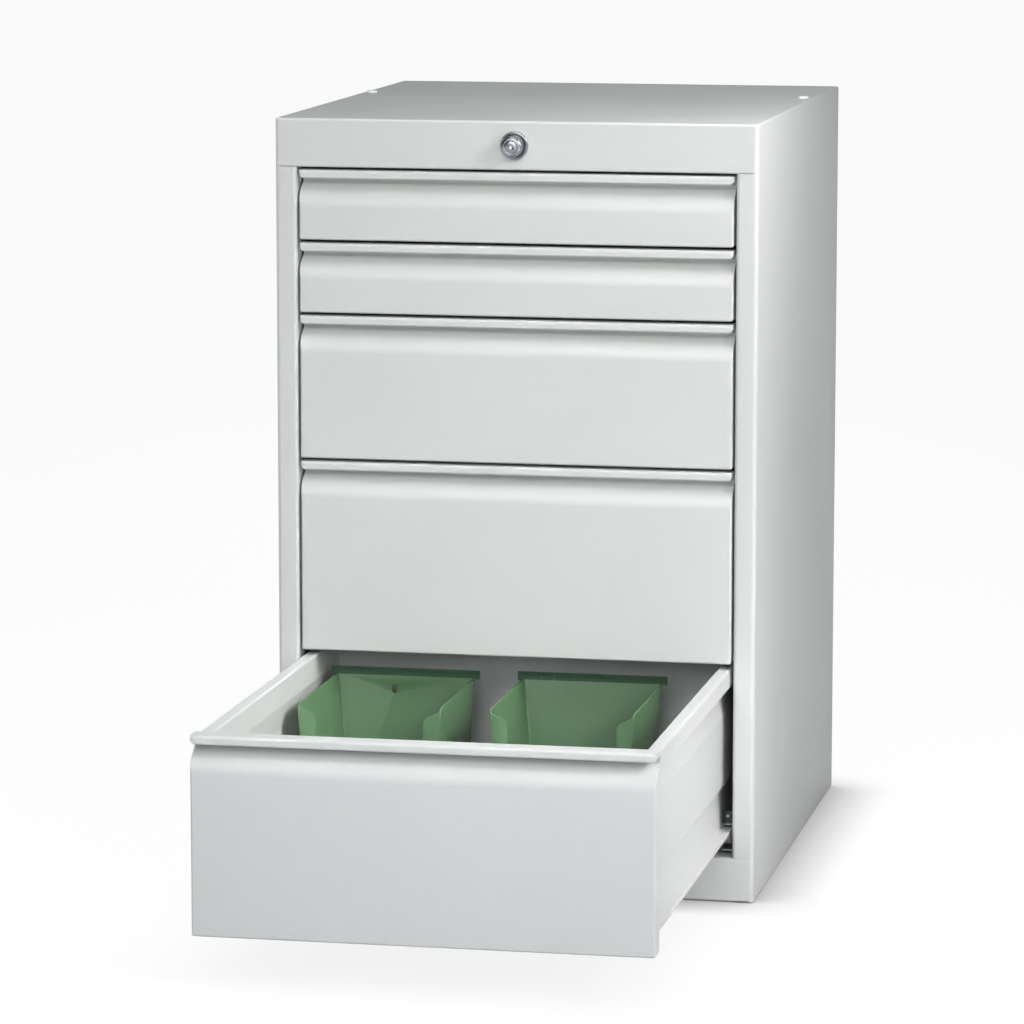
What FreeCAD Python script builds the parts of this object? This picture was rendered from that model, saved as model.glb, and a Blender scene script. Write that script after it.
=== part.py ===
"""Steel drawer cabinet with five roller-run drawers, a central lock and two storage bins.

The frame has its origin on the floor under the middle of the cabinet. +Z is up, the drawers open
towards -Y and +X is on the right of someone who faces the drawers. Sizes are in millimetres.
Drawers are numbered from the top down. The bottom drawer stands open, and the others are closed.
"""
import FreeCAD, Part
import math
import os

# ---------------------------------------------------------------- driving sizes: cabinet body
CABINET_W = 500.0            # outside width
CABINET_D = 600.0            # outside depth
DRAWER_MODULES = (75.0, 75.0, 151.0, 201.0, 199.0)   # height of each drawer's bay, from the top down
PLINTH_TOP = 46.5            # floor to the top of the plinth
PLINTH_GAP = 1.7             # bottom bay over the plinth
FASCIA_H = 49.9              # front strip over the drawers, which holds the lock
FASCIA_GAP = 0.9             # fascia's lower edge over the top bay
GLIDE_H = 1.5                # plastic glides under the body
BODY_SHEET = 1.2             # sheet of the body
STILE_W = 22.5               # front strip beside the drawers
STILE_RETURN = 18.0          # how far the stile folds back into the body
CORNER_R = 4.4               # upright front corners
STILE_R = 4.0                # inner edge of the stile
TOP_FRONT_R = 3.0            # edge between the top and the fascia
TOP_EDGE_R = 2.5             # side and rear edges of the top
FOLD_R = 2.0                 # small folds
REAR_FLANGE = 20.0           # rear fold of the side panels
TOP_REAR_FLANGE = 18.0       # rear fold of the top
FOLD_BACK = 20.0             # folds under the fascia and under the plinth
FASCIA_LIP = 11.0            # stiffening lip behind the fascia
BASE_LIP = 15.0              # rear fold of the base
FOOT_FLANGE = 26.0           # inward fold at the foot of the side panels

# ---------------------------------------------------------------- driving sizes: drawer fronts
FRONT_TOP_GAP = 2.0          # top of a front under the top of its bay
FRONT_FOOT_GAP = 1.3         # lower edge of a front over the foot of its bay
SIDE_GAP = 2.5               # gap between a front and the stile
DRAWER_SHEET = 1.0           # sheet of the drawers
LIP_H = 8.7                  # grip strip along the top of a front
LIP_END = 5.0                # solid end of the grip strip
LIP_TOP_R = 3.0
LIP_NOSE_R = 1.4
LIP_BACK_R = 0.8
LIP_INNER_GAP = 0.7          # gap left inside the strip behind its back fold
LIP_CHAMFER_W = 4.0          # cut at the lower corners of the grip strip
LIP_CHAMFER_H = 3.5
RECESS_DEPTH = 20.0          # finger recess behind the grip strip
RECESS_STEP = 4.0            # height of the recess's back face
RECESS_R = 1.2               # folds at the back of the recess
RECESS_ANGLE = 57.0          # slope under the recess, in degrees from upright
KNEE_R = 22.0                # round from that slope to the flat front
FOOT_FOLD_R = 2.0
FOOT_FOLD = 15.0
FRONT_CORNER_R = 3.0         # lower corners of a front
FRONT_END_R = 2.0            # upright ends of a front

# ---------------------------------------------------------------- driving sizes: drawer trays
REAR_SPACE = 48.0            # body left behind a closed tray
STAY_IN = 71.0               # length of tray that stays in the body at full travel
REST_SHORT = 13.0            # how far short of full travel the bottom drawer stands
FLOOR_LEVEL = 24.0           # tray floor over the lower edge of the front
RIM_DROP = 2.5               # tray rim under the top of the grip strip
RIM_GAP = 3.5                # gap between the rims and the stiles
RIM_W = 13.5
RIM_LIP = 18.0               # outer fold of the rim
RIM_R = 2.5                  # outer edge of the rim
WALL_R = 2.0                 # inner edge of the rim
RUNNER_W = 12.0              # running flange outside the foot of the side wall
RUNNER_LIP = 3.5
WALL_LEAN = 2.5              # how far a side wall leans in under its pressed panel
PANEL_STEP = 5.5             # how far the pressed panel stands out
PANEL_FOOT = (64.0, 70.0)    # lower edge of that panel, over the edge of the front
PANEL_HEAD = (53.0, 28.0)    # its upper edge, under the top of the front
PANEL_LEAST = 15.0           # a wall with no room for a panel this high stays flat
PANEL_R = (1.5, 1.5, 6.0, 6.0)
BACK_FLANGE = 8.0            # fold along the top of the tray's back

# ---------------------------------------------------------------- driving sizes: runners
RAIL_SHEET = 1.2
RAIL_H = 28.0
RAIL_RISE = 0.5              # rail over the lower edge of the front
RAIL_REACH = 12.7            # depth of the rail's channel over its web
RAIL_R = 1.6
RAIL_GAP = 1.5               # rails stand this much further in than the stiles
RAIL_BEHIND_FRONT = 1.0      # rails behind a closed drawer's front
ROLL_CLEAR = 0.3             # clearance between a roller and what it runs on
FRONT_ROLLER_R = 9.0
ROLLER_W = 7.5
ROLLER_SIDE = 0.9            # clearance between a roller and the runner's lip
ROLLER_PLAY = 0.1            # end play of a roller on its pin
ROLLER_BORE_CLEAR = 0.05
PIN_R = 3.0
PIN_HEAD_R = 4.6
PIN_HEAD_T = 1.0
FRONT_ROLLER_IN = 14.0       # front roller behind the rail's front end
REAR_ROLLER_IN = 16.0        # rear roller in front of the tray's back
ROLLER_PLATE = (1.5, 12.0, 17.0)    # thickness, half length and drop of a rear roller's plate
SHOE_W = 8.0                 # guide shoe on a rail's front end
SHOE_L = 14.0
SHOE_H = 14.0
SHOE_R = 4.0
SHOE_IN = 1.0                # shoe inside the rail's web
POST_L = 30.0                # upright posts that carry the rails
POST_SHEET = 1.5
POST_BEHIND_FOLD = 1.0
UNDER_TOP = 2.0              # posts and back panel end this far under the top sheet's inside
SCREW_R = 2.0
SCREW_BORE_CLEAR = 0.05
SCREW_HEAD_R = 3.6
SCREW_HEAD_T = 1.4
SCREW_LEVEL = 14.0           # rail screws over the rail's lower edge
SCREW_OFF = 9.0              # rail screws from the middle of a post, towards the middle of the rail
NUT_BEHIND = 1.5             # screw tips behind the posts' sheet

# ---------------------------------------------------------------- driving sizes: central lock
LOCK_DROP = 25.0             # lock axis under the top
COLLAR_R = 14.5
COLLAR_T = 2.5
COLLAR_EDGE_R = 1.5
BARREL_R = 11.0
BARREL_OUT = 20.0            # how far the barrel stands out of the fascia
BARREL_IN = 24.0
BARREL_NOSE = 2.0            # cone at the barrel's front edge
CORE_R = 6.6
CORE_OUT = 21.5
CORE_IN = 30.0
CORE_EDGE = 0.8
LOCK_CLEAR = 0.05            # radial clearance of the turning pieces
KEY_SLOT = (1.4, 7.6, 6.0)   # width, height and depth of the key slot
KEY_TILT = 60.0              # key slot from upright at rest, in degrees
NUT_ACROSS = 30.0
NUT_T = 5.0
ROD_R = 4.0
BRACKET_T = 2.0
BRACKET_W = 24.0
BRACKET_BELOW = 10.0         # bracket below the rod's axis
BRACKET_IN = 45.0            # bracket in front of the body's rear
CRANK_R = 13.0
CRANK_T = 3.0
CRANK_GAP = 2.0              # gap between the crank and the bar
CRANK_THROW = 10.0           # crank pin from the lock axis
CRANK_PIN_R = 2.0
CRANK_PIN_PAST = 1.0
CRANK_TURN = 90.0            # turn of the key, in degrees
CRANK_SLOT_CLEAR = 0.5
BAR_W = 20.0
BAR_T = 3.0
BAR_BEHIND = 36.0            # bar behind a closed tray
BAR_FOOT = 8.0               # foot of the bar over the edge of the bottom front
HEAD_W = 32.0
HEAD_H = 24.0
FINGER_W = 16.0
FINGER_T = 2.0
FINGER_HOOK = 11.0           # hook of a finger over its plate
FINGER_GAP = 1.0             # finger plate under the catch's tongue when locked
CATCH_W = 24.0
CATCH_T = 1.2
CATCH_REACH = 23.0           # catch behind the tray
CATCH_TOP = 50.0             # top of a catch over the edge of the front
CATCH_TONGUE = 12.0
CATCH_PLATE = 15.0
CATCH_PLAY = 2.0             # play of a locked drawer
GUIDE_CLEAR = 0.4
GUIDE_T = 1.5
GUIDE_H = 14.0
GUIDE_BELOW = 40.0           # guides under the front of every second drawer

# ---------------------------------------------------------------- driving sizes: small pieces
PLUG_R = 5.8
PLUG_H = 2.6
PLUG_EDGE = 0.8
PLUG_SHANK_R = 3.0
PLUG_SHANK = 5.0
PLUG_INSET = 11.0            # plugs inside the sides
PLUG_Y = 94.0
GLIDE_R = 12.0
GLIDE_INSET = 15.0

# ---------------------------------------------------------------- driving sizes: storage bins
BIN_W = 157.0                # width of the lip along the back
BIN_L = 234.0
BIN_H = 144.5                # height of the sides
BIN_WALL = 2.4
BIN_TAPER = 12.0             # how much further in each side stands at the bottom
BIN_HIGH = 172.0             # length of the full-height part of the sides
BIN_SILL = 52.0              # height of the low front wall
BIN_SHOULDER_R = 8.0
BIN_DIP_R = 14.0
BIN_CHEEK = 19.0             # upright cheeks beside the open front
BIN_CHEEK_FALL = 8.0         # how far a cheek's top falls towards the middle
BIN_LIP = (4.0, 8.0)         # lip along the back: its reach beyond each side, and its height over them
BIN_LIFT = 0.3               # clearance between a bin and the drawer floor
BIN_WALL_GAP = 10.0          # left bin's lip beside the tray's rim
BIN_BETWEEN = 39.5           # gap between the lips of the bins
BIN_BEHIND = (69.0, 63.0)    # space behind the left and the right bin
BIN_HOLE = (2.9, 3.9)        # radius and straight length of the slot in the left bin's back
BIN_HOLE_DROP = 14.0         # slot under the top of the sides
BIN_HOLE_OFF = 12.0          # slot from the bin's middle

# ---------------------------------------------------------------- derived places
DRAWERS = range(1, len(DRAWER_MODULES) + 1)
HALF_W = CABINET_W / 2
FRONT = -CABINET_D / 2
REAR = CABINET_D / 2
BAYS_TOP = PLINTH_TOP + PLINTH_GAP + sum(DRAWER_MODULES)
OPENING_TOP = BAYS_TOP + FASCIA_GAP
CABINET_H = OPENING_TOP + FASCIA_H
SEAM_X = HALF_W - CORNER_R
OPENING_X = HALF_W - STILE_W
FRONT_X = OPENING_X - SIDE_GAP
BACK_PANEL_Y = REAR - 2 * BODY_SHEET
HOLLOW = RECESS_DEPTH + DRAWER_SHEET
TRAY_DEPTH = CABINET_D - HOLLOW - REAR_SPACE
TRAY_FRONT = FRONT + HOLLOW
TRAY_BACK = TRAY_FRONT + TRAY_DEPTH
TRAVEL = TRAY_DEPTH - STAY_IN
REST_OPEN = TRAVEL - REST_SHORT
RIM_X = OPENING_X - RIM_GAP
RIM_INNER_X = RIM_X - RIM_W
WALL_X = RIM_X - RUNNER_W
WEB_X = OPENING_X - RAIL_GAP
POST_X = WEB_X + RAIL_SHEET
RAIL_FRONT = TRAY_FRONT + RAIL_BEHIND_FRONT
RAIL_REAR = BACK_PANEL_Y - POST_L / 2
ROLLER_OUT_X = RIM_X - DRAWER_SHEET - ROLLER_SIDE
ROLLER_IN_X = ROLLER_OUT_X - ROLLER_W
REAR_ROLLER_R = (RAIL_H - 2 * RAIL_SHEET - 2 * ROLL_CLEAR) / 2
REAR_ROLLER_LEVEL = RAIL_RISE + RAIL_H / 2
FRONT_ROLLER_LEVEL = FLOOR_LEVEL - DRAWER_SHEET - ROLL_CLEAR - FRONT_ROLLER_R
FRONT_ROLLER_Y = RAIL_FRONT + FRONT_ROLLER_IN
REAR_ROLLER_Y = TRAY_BACK - REAR_ROLLER_IN
LOCK_Z = CABINET_H - LOCK_DROP
BAR_Y = TRAY_BACK + BAR_BEHIND
HALF_TURN = math.radians(CRANK_TURN / 2)
BAR_LIFT = 2 * CRANK_THROW * math.sin(HALF_TURN)
CRANK_X = CRANK_THROW * math.cos(HALF_TURN)
BIN_LEFT_X = -(RIM_INNER_X - BIN_WALL_GAP - BIN_W / 2)
BIN_RIGHT_X = BIN_LEFT_X + BIN_W + BIN_BETWEEN


def bay(number):
    """Lower edge, height and opening of one drawer's front, with number 1 at the top."""
    foot = BAYS_TOP - sum(DRAWER_MODULES[:number]) + FRONT_FOOT_GAP
    height = DRAWER_MODULES[number - 1] - FRONT_FOOT_GAP - FRONT_TOP_GAP
    pulled = REST_OPEN if number == DRAWERS[-1] else 0.0
    return foot, height, pulled


# ---------------------------------------------------------------- geometry helpers
SAME_PLACE = 1e-6            # points closer than this are one point


def vec(x, y, z):
    return FreeCAD.Vector(x, y, z)


def box(x0, x1, y0, y1, z0, z1):
    return Part.makeBox(x1 - x0, y1 - y0, z1 - z0, vec(x0, y0, z0))


def rod(radius, start, end):
    axis = end - start
    return Part.makeCylinder(radius, axis.Length, start, axis)


def mirrored(shape):
    """The same piece on the other side of the middle plane."""
    return shape.mirror(vec(0, 0, 0), vec(1, 0, 0))


def both_sides(shape):
    return Part.makeCompound([mirrored(shape), shape])


def fused(shapes):
    return shapes[0].fuse(shapes[1:]).removeSplitter()


def bored(shape, holes):
    for hole in holes:
        shape = shape.cut(hole)
    return shape


def rounded_edges(points, radii):
    """Lines and arcs of an open path whose inner points are rounded by radii."""
    edges = []
    start = points[0]
    for before, corner, after, radius in zip(points, points[1:], points[2:], radii):
        into = (corner - before).normalize()
        out = (after - corner).normalize()
        turn = into.getAngle(out)
        reach = radius * math.tan(turn / 2)
        first = corner - into * reach
        if (first - start).Length > SAME_PLACE:
            edges.append(Part.LineSegment(start, first).toShape())
        start = first
        if reach > SAME_PLACE:
            last = corner + out * reach
            inward = (out - into).normalize()
            centre = corner + inward * (radius / math.cos(turn / 2))
            edges.append(Part.Arc(first, centre - inward * radius, last).toShape())
            start = last
    edges.append(Part.LineSegment(start, points[-1]).toShape())
    return edges


def in_plan(face):
    """Leaves an outline that is drawn in X and Y as it is."""
    return face


def in_side_view(face):
    """Stands up an outline that is drawn in Y and Z."""
    return face.transformed(FreeCAD.Matrix(0, 0, 1, 0, 1, 0, 0, 0, 0, 1, 0, 0))


def in_front_view(face):
    """Stands up an outline that is drawn in X and Z."""
    return face.transformed(FreeCAD.Matrix(1, 0, 0, 0, 0, 0, -1, 0, 0, 1, 0, 0))


def prism(edges, view, start, end):
    """A solid over a closed outline, from one place to another along the view's own axis."""
    face = view(Part.Face(Part.Wire(Part.__sortEdges__(edges))))
    axis = {in_plan: vec(0, 0, 1), in_side_view: vec(1, 0, 0), in_front_view: vec(0, 1, 0)}[view]
    face.translate(axis * start)
    return face.extrude(axis * (end - start))


def block(path, radii, view, start, end):
    """A solid over a closed outline. Its first point stays sharp, and radii round the others."""
    points = [vec(u, v, 0) for u, v in path]
    return prism(rounded_edges(points + points[:1], radii), view, start, end)


def sheet(path, radii, thickness, view, start, end):
    """A folded sheet whose visible face follows path, with its thickness on the path's right."""
    points = [vec(u, v, 0) for u, v in path]
    steps = [(b - a).normalize() for a, b in zip(points, points[1:])]
    sides = [vec(step.y, -step.x, 0) for step in steps]
    hidden = [points[0] + sides[0] * thickness]
    hidden_radii = []
    for corner, radius, side, next_side, next_step in zip(points[1:], radii, sides, sides[1:], steps[1:]):
        hidden.append(corner + (side + next_side) * (thickness / (1 + side.dot(next_side))))
        bend = -thickness if next_step.dot(side) > 0 else thickness
        hidden_radii.append(max(radius + bend, 0) if radius > 0 else 0)
    hidden.append(points[-1] + sides[-1] * thickness)
    edges = rounded_edges(points, radii) + rounded_edges(hidden, hidden_radii)
    edges.append(Part.LineSegment(points[0], hidden[0]).toShape())
    edges.append(Part.LineSegment(points[-1], hidden[-1]).toShape())
    return prism(edges, view, start, end)


def save(node, shape):
    shape.exportStep("parts/%s.step" % node)


# ---------------------------------------------------------------- cabinet body
def rounded_body(inset):
    """The body's block with its rounded corners and top edges, shrunk by inset."""
    x, front, rear, top = HALF_W - inset, FRONT + inset, REAR - inset, CABINET_H - inset
    corner, edge = CORNER_R - inset, TOP_EDGE_R - inset
    upright = block([(0, front), (x, front), (x, rear), (-x, rear), (-x, front)],
                    [corner, 0, 0, corner], in_plan, GLIDE_H, top)
    across = block([(-x, GLIDE_H), (-x, top), (x, top), (x, GLIDE_H)],
                   [edge, edge, 0], in_front_view, front, rear)
    along = block([(front, GLIDE_H), (front, top), (rear, top), (rear, GLIDE_H)],
                  [TOP_FRONT_R - inset, edge, 0], in_side_view, -x, x)
    return upright.common(across).common(along)


def side_panel():
    """Right side: rounded front corner, stile with its return, rear flange and foot flange."""
    skin = rounded_body(0).cut(rounded_body(BODY_SHEET))
    side = skin.common(box(SEAM_X, HALF_W, FRONT, REAR, GLIDE_H, CABINET_H))
    stile = sheet([(SEAM_X, FRONT), (OPENING_X, FRONT), (OPENING_X, FRONT + STILE_RETURN)],
                  [STILE_R], BODY_SHEET, in_plan, PLINTH_TOP, OPENING_TOP)
    rear = box(HALF_W - REAR_FLANGE, SEAM_X, REAR - BODY_SHEET, REAR, GLIDE_H, CABINET_H - TOP_REAR_FLANGE)
    foot = box(HALF_W - FOOT_FLANGE, HALF_W - BODY_SHEET, FRONT + FOLD_BACK, REAR - BODY_SHEET,
               GLIDE_H, GLIDE_H + BODY_SHEET)
    return fused([side, stile, rear, foot])


def plug_places():
    return [side * (HALF_W - PLUG_INSET) for side in (-1, 1)]


def top_panel():
    """Top sheet with the fascia in front of it, the folds behind the fascia and the rear flange."""
    fold_y = FRONT + FOLD_BACK
    path = [(fold_y, OPENING_TOP + FASCIA_LIP), (fold_y, OPENING_TOP), (FRONT, OPENING_TOP),
            (FRONT, CABINET_H), (REAR, CABINET_H), (REAR, CABINET_H - TOP_REAR_FLANGE)]
    radii = [FOLD_R, FOLD_R, TOP_FRONT_R, TOP_EDGE_R]
    panel = sheet(path, radii, BODY_SHEET, in_side_view, -SEAM_X, SEAM_X)
    lock_hole = rod(BARREL_R, vec(0, FRONT, LOCK_Z), vec(0, FRONT + BODY_SHEET, LOCK_Z))
    plug_holes = [rod(PLUG_SHANK_R, vec(x, PLUG_Y, CABINET_H - BODY_SHEET), vec(x, PLUG_Y, CABINET_H))
                  for x in plug_places()]
    return bored(panel, [lock_hole] + plug_holes)


def back_panel():
    """Flat back, inside the rear flanges."""
    x = HALF_W - BODY_SHEET
    top = CABINET_H - BODY_SHEET - UNDER_TOP
    return box(-x, x, BACK_PANEL_Y, REAR - BODY_SHEET, PLINTH_TOP - BASE_LIP, top)


def base_panel():
    """Floor of the body with the plinth folded down in front."""
    rear = BACK_PANEL_Y
    path = [(FRONT + FOLD_BACK, GLIDE_H), (FRONT, GLIDE_H), (FRONT, PLINTH_TOP), (rear, PLINTH_TOP),
            (rear, PLINTH_TOP - BASE_LIP)]
    return sheet(path, [FOLD_R, FOLD_R, FOLD_R], BODY_SHEET, in_side_view, -SEAM_X, SEAM_X)


def floor_glides():
    """Four plastic discs under the corners."""
    x, y = HALF_W - GLIDE_INSET, REAR - GLIDE_INSET
    places = [(sx * x, sy * y) for sx in (-1, 1) for sy in (-1, 1)]
    return Part.makeCompound([rod(GLIDE_R, vec(px, py, 0), vec(px, py, GLIDE_H)) for px, py in places])


def top_plugs():
    """Two white plugs that close fixing holes in the top."""
    plugs = []
    for x in plug_places():
        head = rod(PLUG_R, vec(x, PLUG_Y, CABINET_H), vec(x, PLUG_Y, CABINET_H + PLUG_H))
        rim = [edge for edge in head.Edges if edge.BoundBox.ZMin > CABINET_H + PLUG_H / 2]
        head = head.makeFillet(PLUG_EDGE, rim)
        shank = rod(PLUG_SHANK_R, vec(x, PLUG_Y, CABINET_H - PLUG_SHANK), vec(x, PLUG_Y, CABINET_H))
        plugs.append(fused([head, shank]))
    return Part.makeCompound(plugs)


# ---------------------------------------------------------------- posts and rails
def post_middles():
    """Middles of the front and rear posts along Y."""
    return (FRONT + FOLD_BACK + POST_BEHIND_FOLD + POST_L / 2, BACK_PANEL_Y - POST_L / 2)


def rail_screw_places():
    """Y and Z of each rail screw."""
    front, rear = post_middles()
    places = []
    for number in DRAWERS:
        level = bay(number)[0] + RAIL_RISE + SCREW_LEVEL
        places += [(front + SCREW_OFF, level), (rear - SCREW_OFF, level)]
    return places


def screw_bore(y, z):
    return rod(SCREW_R + SCREW_BORE_CLEAR, vec(WEB_X, y, z), vec(POST_X + POST_SHEET, y, z))


def post(middle):
    """Right-hand post, a channel that opens towards the side panel."""
    y0, y1 = middle - POST_L / 2, middle + POST_L / 2
    outer = HALF_W - BODY_SHEET
    channel = sheet([(outer, y0), (POST_X, y0), (POST_X, y1), (outer, y1)], [RAIL_R, RAIL_R], POST_SHEET,
                    in_plan, PLINTH_TOP, CABINET_H - BODY_SHEET - UNDER_TOP)
    return bored(channel, [screw_bore(y, z) for y, z in rail_screw_places() if y0 < y < y1])


def rail(number):
    """Right-hand channel rail of one drawer, with the pin of its front roller."""
    foot = bay(number)[0]
    low, high = foot + RAIL_RISE, foot + RAIL_RISE + RAIL_H
    inner = POST_X - RAIL_REACH
    channel = sheet([(inner, high), (POST_X, high), (POST_X, low), (inner, low)],
                    [RAIL_R, RAIL_R], RAIL_SHEET, in_front_view, RAIL_FRONT, RAIL_REAR)
    channel = bored(channel, [screw_bore(y, z) for y, z in rail_screw_places() if low < z < high])
    y, z = FRONT_ROLLER_Y, foot + FRONT_ROLLER_LEVEL
    tip = ROLLER_IN_X - ROLLER_PLAY
    pin = rod(PIN_R, vec(tip, y, z), vec(WEB_X, y, z))
    head = rod(PIN_HEAD_R, vec(tip - PIN_HEAD_T, y, z), vec(tip, y, z))
    collar = rod(PIN_HEAD_R, vec(ROLLER_OUT_X + ROLLER_PLAY, y, z), vec(WEB_X, y, z))
    return fused([channel, pin, head, collar])


def roller(radius, y, z):
    """Right-hand plastic roller on its pin."""
    inner, outer = vec(ROLLER_IN_X, y, z), vec(ROLLER_OUT_X, y, z)
    return rod(radius, inner, outer).cut(rod(PIN_R + ROLLER_BORE_CLEAR, inner, outer))


def front_roller(number):
    return roller(FRONT_ROLLER_R, FRONT_ROLLER_Y, bay(number)[0] + FRONT_ROLLER_LEVEL)


def rear_roller(number):
    foot, height, pulled = bay(number)
    return roller(REAR_ROLLER_R, REAR_ROLLER_Y - pulled, foot + REAR_ROLLER_LEVEL)


def guide_shoes():
    """Plastic shoes on the rails' front ends, which steady the drawer sides."""
    outer = WEB_X - SHOE_IN
    front, back = RAIL_FRONT, RAIL_FRONT + SHOE_L
    shoes = []
    for number in DRAWERS:
        seat = bay(number)[0] + RAIL_RISE + RAIL_H
        shoe = block([(back, seat), (front, seat), (front, seat + SHOE_H), (back, seat + SHOE_H)],
                     [0, SHOE_R, 0], in_side_view, outer - SHOE_W, outer)
        shoes += [shoe, mirrored(shoe)]
    return Part.makeCompound(shoes)


def rail_screws():
    """Pan-head screws that hold the rails to the posts."""
    screws = []
    for y, z in rail_screw_places():
        head = rod(SCREW_HEAD_R, vec(WEB_X - SCREW_HEAD_T, y, z), vec(WEB_X, y, z))
        shank = rod(SCREW_R, vec(WEB_X, y, z), vec(POST_X + POST_SHEET + NUT_BEHIND, y, z))
        screw = fused([head, shank])
        screws += [screw, mirrored(screw)]
    return Part.makeCompound(screws)


# ---------------------------------------------------------------- drawers
def front_outline(height):
    """Points and radii of a front's visible face in Y and Z, from its foot to the back of its lip."""
    under_lip = height - LIP_H
    recess_foot = under_lip - RECESS_STEP
    knee = recess_foot - RECESS_DEPTH / math.tan(math.radians(RECESS_ANGLE))
    points = [(0, 0), (0, knee), (RECESS_DEPTH, recess_foot), (RECESS_DEPTH, under_lip), (0, under_lip),
              (0, height), (HOLLOW, height)]
    return points, [FOOT_FOLD_R, KNEE_R, RECESS_R, RECESS_R, LIP_NOSE_R, LIP_TOP_R, LIP_BACK_R]


def drawer_front(number):
    """Folded hollow front: flat face, finger recess and grip strip, closed at both ends."""
    foot, height, pulled = bay(number)
    face = FRONT - pulled
    outline, radii = front_outline(height)

    def placed(points):
        return [(face + y, foot + z) for y, z in points]

    back_fold = (HOLLOW, height - LIP_H + DRAWER_SHEET + LIP_INNER_GAP)
    skin = sheet(placed([(FOOT_FOLD, 0)] + outline + [back_fold]), radii, DRAWER_SHEET,
                 in_side_view, -FRONT_X, FRONT_X)
    plate = block(placed([(HOLLOW, 0)] + outline), radii[:-1] + [0],
                  in_side_view, FRONT_X - DRAWER_SHEET, FRONT_X)
    strip = [(HOLLOW, height - LIP_H), (0, height - LIP_H), (0, height), (HOLLOW, height)]
    lip_end = block(placed(strip), [LIP_NOSE_R, LIP_TOP_R, 0], in_side_view, FRONT_X - LIP_END, FRONT_X)
    whole = fused([skin, plate, mirrored(plate), lip_end, mirrored(lip_end)])
    rear, head = face + HOLLOW, foot + height
    low_corners = block([(0, foot), (FRONT_X, foot), (FRONT_X, head), (-FRONT_X, head), (-FRONT_X, foot)],
                        [FRONT_CORNER_R, 0, 0, FRONT_CORNER_R], in_front_view, face, rear)
    ends = block([(0, face), (FRONT_X, face), (FRONT_X, rear), (-FRONT_X, rear), (-FRONT_X, face)],
                 [FRONT_END_R, 0, 0, FRONT_END_R], in_plan, foot, head)
    under_lip = foot + height - LIP_H
    nick_x, nick_z = FRONT_X - LIP_CHAMFER_W, under_lip + LIP_CHAMFER_H
    nick = block([(FRONT_X, under_lip), (nick_x, under_lip), (FRONT_X, nick_z)],
                 [0, 0], in_front_view, face, face + RECESS_DEPTH)
    return whole.common(low_corners).common(ends).cut(nick).cut(mirrored(nick))


def wall_path(foot, height):
    """Points and radii of a right tray wall's inner face in X and Z, from the floor to the rim."""
    points = [(WALL_X, foot + FLOOR_LEVEL)]
    radii = []
    if height - PANEL_HEAD[0] - PANEL_FOOT[1] > PANEL_LEAST:
        lean = WALL_X - WALL_LEAN
        head = foot + height
        points += [(lean, foot + PANEL_FOOT[0]), (lean + PANEL_STEP, foot + PANEL_FOOT[1]),
                   (lean + PANEL_STEP, head - PANEL_HEAD[0]), (RIM_INNER_X, head - PANEL_HEAD[1])]
        radii += list(PANEL_R)
    points.append((RIM_INNER_X, foot + height - RIM_DROP))
    return points, radii


def tray_wall(foot, height, front, back):
    """Right side wall with its pressed panel and rim."""
    rim = foot + height - RIM_DROP
    points, radii = wall_path(foot, height)
    return sheet(points + [(RIM_X, rim), (RIM_X, rim - RIM_LIP)], radii + [WALL_R, RIM_R], DRAWER_SHEET,
                 in_front_view, front, back)


def tray_end(foot, height, start, end):
    """Front or back wall of a tray, with its sides let into the side walls."""
    points, radii = wall_path(foot, height)
    half = [(x + DRAWER_SHEET / 2, z) for x, z in points]
    half[-1] = (half[-1][0], half[-1][1] - DRAWER_SHEET / 2)
    outline = half + [(-x, z) for x, z in reversed(half)]
    return block(outline, [0] * (len(outline) - 1), in_front_view, start, end)


def rear_roller_mount(foot, y):
    """Plate under the tray's rear corner, with the pin of its roller."""
    thickness, half_length, drop = ROLLER_PLATE
    z = foot + REAR_ROLLER_LEVEL
    floor = foot + FLOOR_LEVEL - DRAWER_SHEET
    face = WALL_X + DRAWER_SHEET
    plate = box(face - thickness, face, y - half_length, y + half_length, floor - drop, floor)
    tip = ROLLER_OUT_X + ROLLER_PLAY
    pin = rod(PIN_R, vec(face, y, z), vec(tip, y, z))
    collar = rod(PIN_HEAD_R, vec(face, y, z), vec(ROLLER_IN_X - ROLLER_PLAY, y, z))
    head = rod(PIN_HEAD_R, vec(tip, y, z), vec(tip + PIN_HEAD_T, y, z))
    return [plate, pin, collar, head]


def drawer_tray(number):
    """Tray of one drawer: floor, walls, rims, running flanges and the rear rollers' pins."""
    foot, height, pulled = bay(number)
    front, back = TRAY_FRONT - pulled, TRAY_BACK - pulled
    floor = foot + FLOOR_LEVEL
    rim = foot + height - RIM_DROP
    side = WALL_X + DRAWER_SHEET
    roller_y = REAR_ROLLER_Y - pulled
    bottom = box(-side, side, front, back, floor - DRAWER_SHEET, floor)
    flange = [(side, floor), (RIM_X, floor), (RIM_X, floor - RUNNER_LIP)]
    runner = sheet(flange, [DRAWER_SHEET], DRAWER_SHEET,
                   in_front_view, front, roller_y - REAR_ROLLER_R - ROLLER_SIDE)
    wall = tray_wall(foot, height, front, back)
    top = rim - DRAWER_SHEET / 2
    back_flange = box(-RIM_INNER_X, RIM_INNER_X, back, back + BACK_FLANGE, top - DRAWER_SHEET, top)
    right = [wall, runner] + rear_roller_mount(foot, roller_y)
    front_wall = tray_end(foot, height, front, front + DRAWER_SHEET)
    back_wall = tray_end(foot, height, back - DRAWER_SHEET, back)
    left = [mirrored(shape) for shape in right]
    return fused([bottom, back_flange] + right + left + [front_wall, back_wall])


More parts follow.
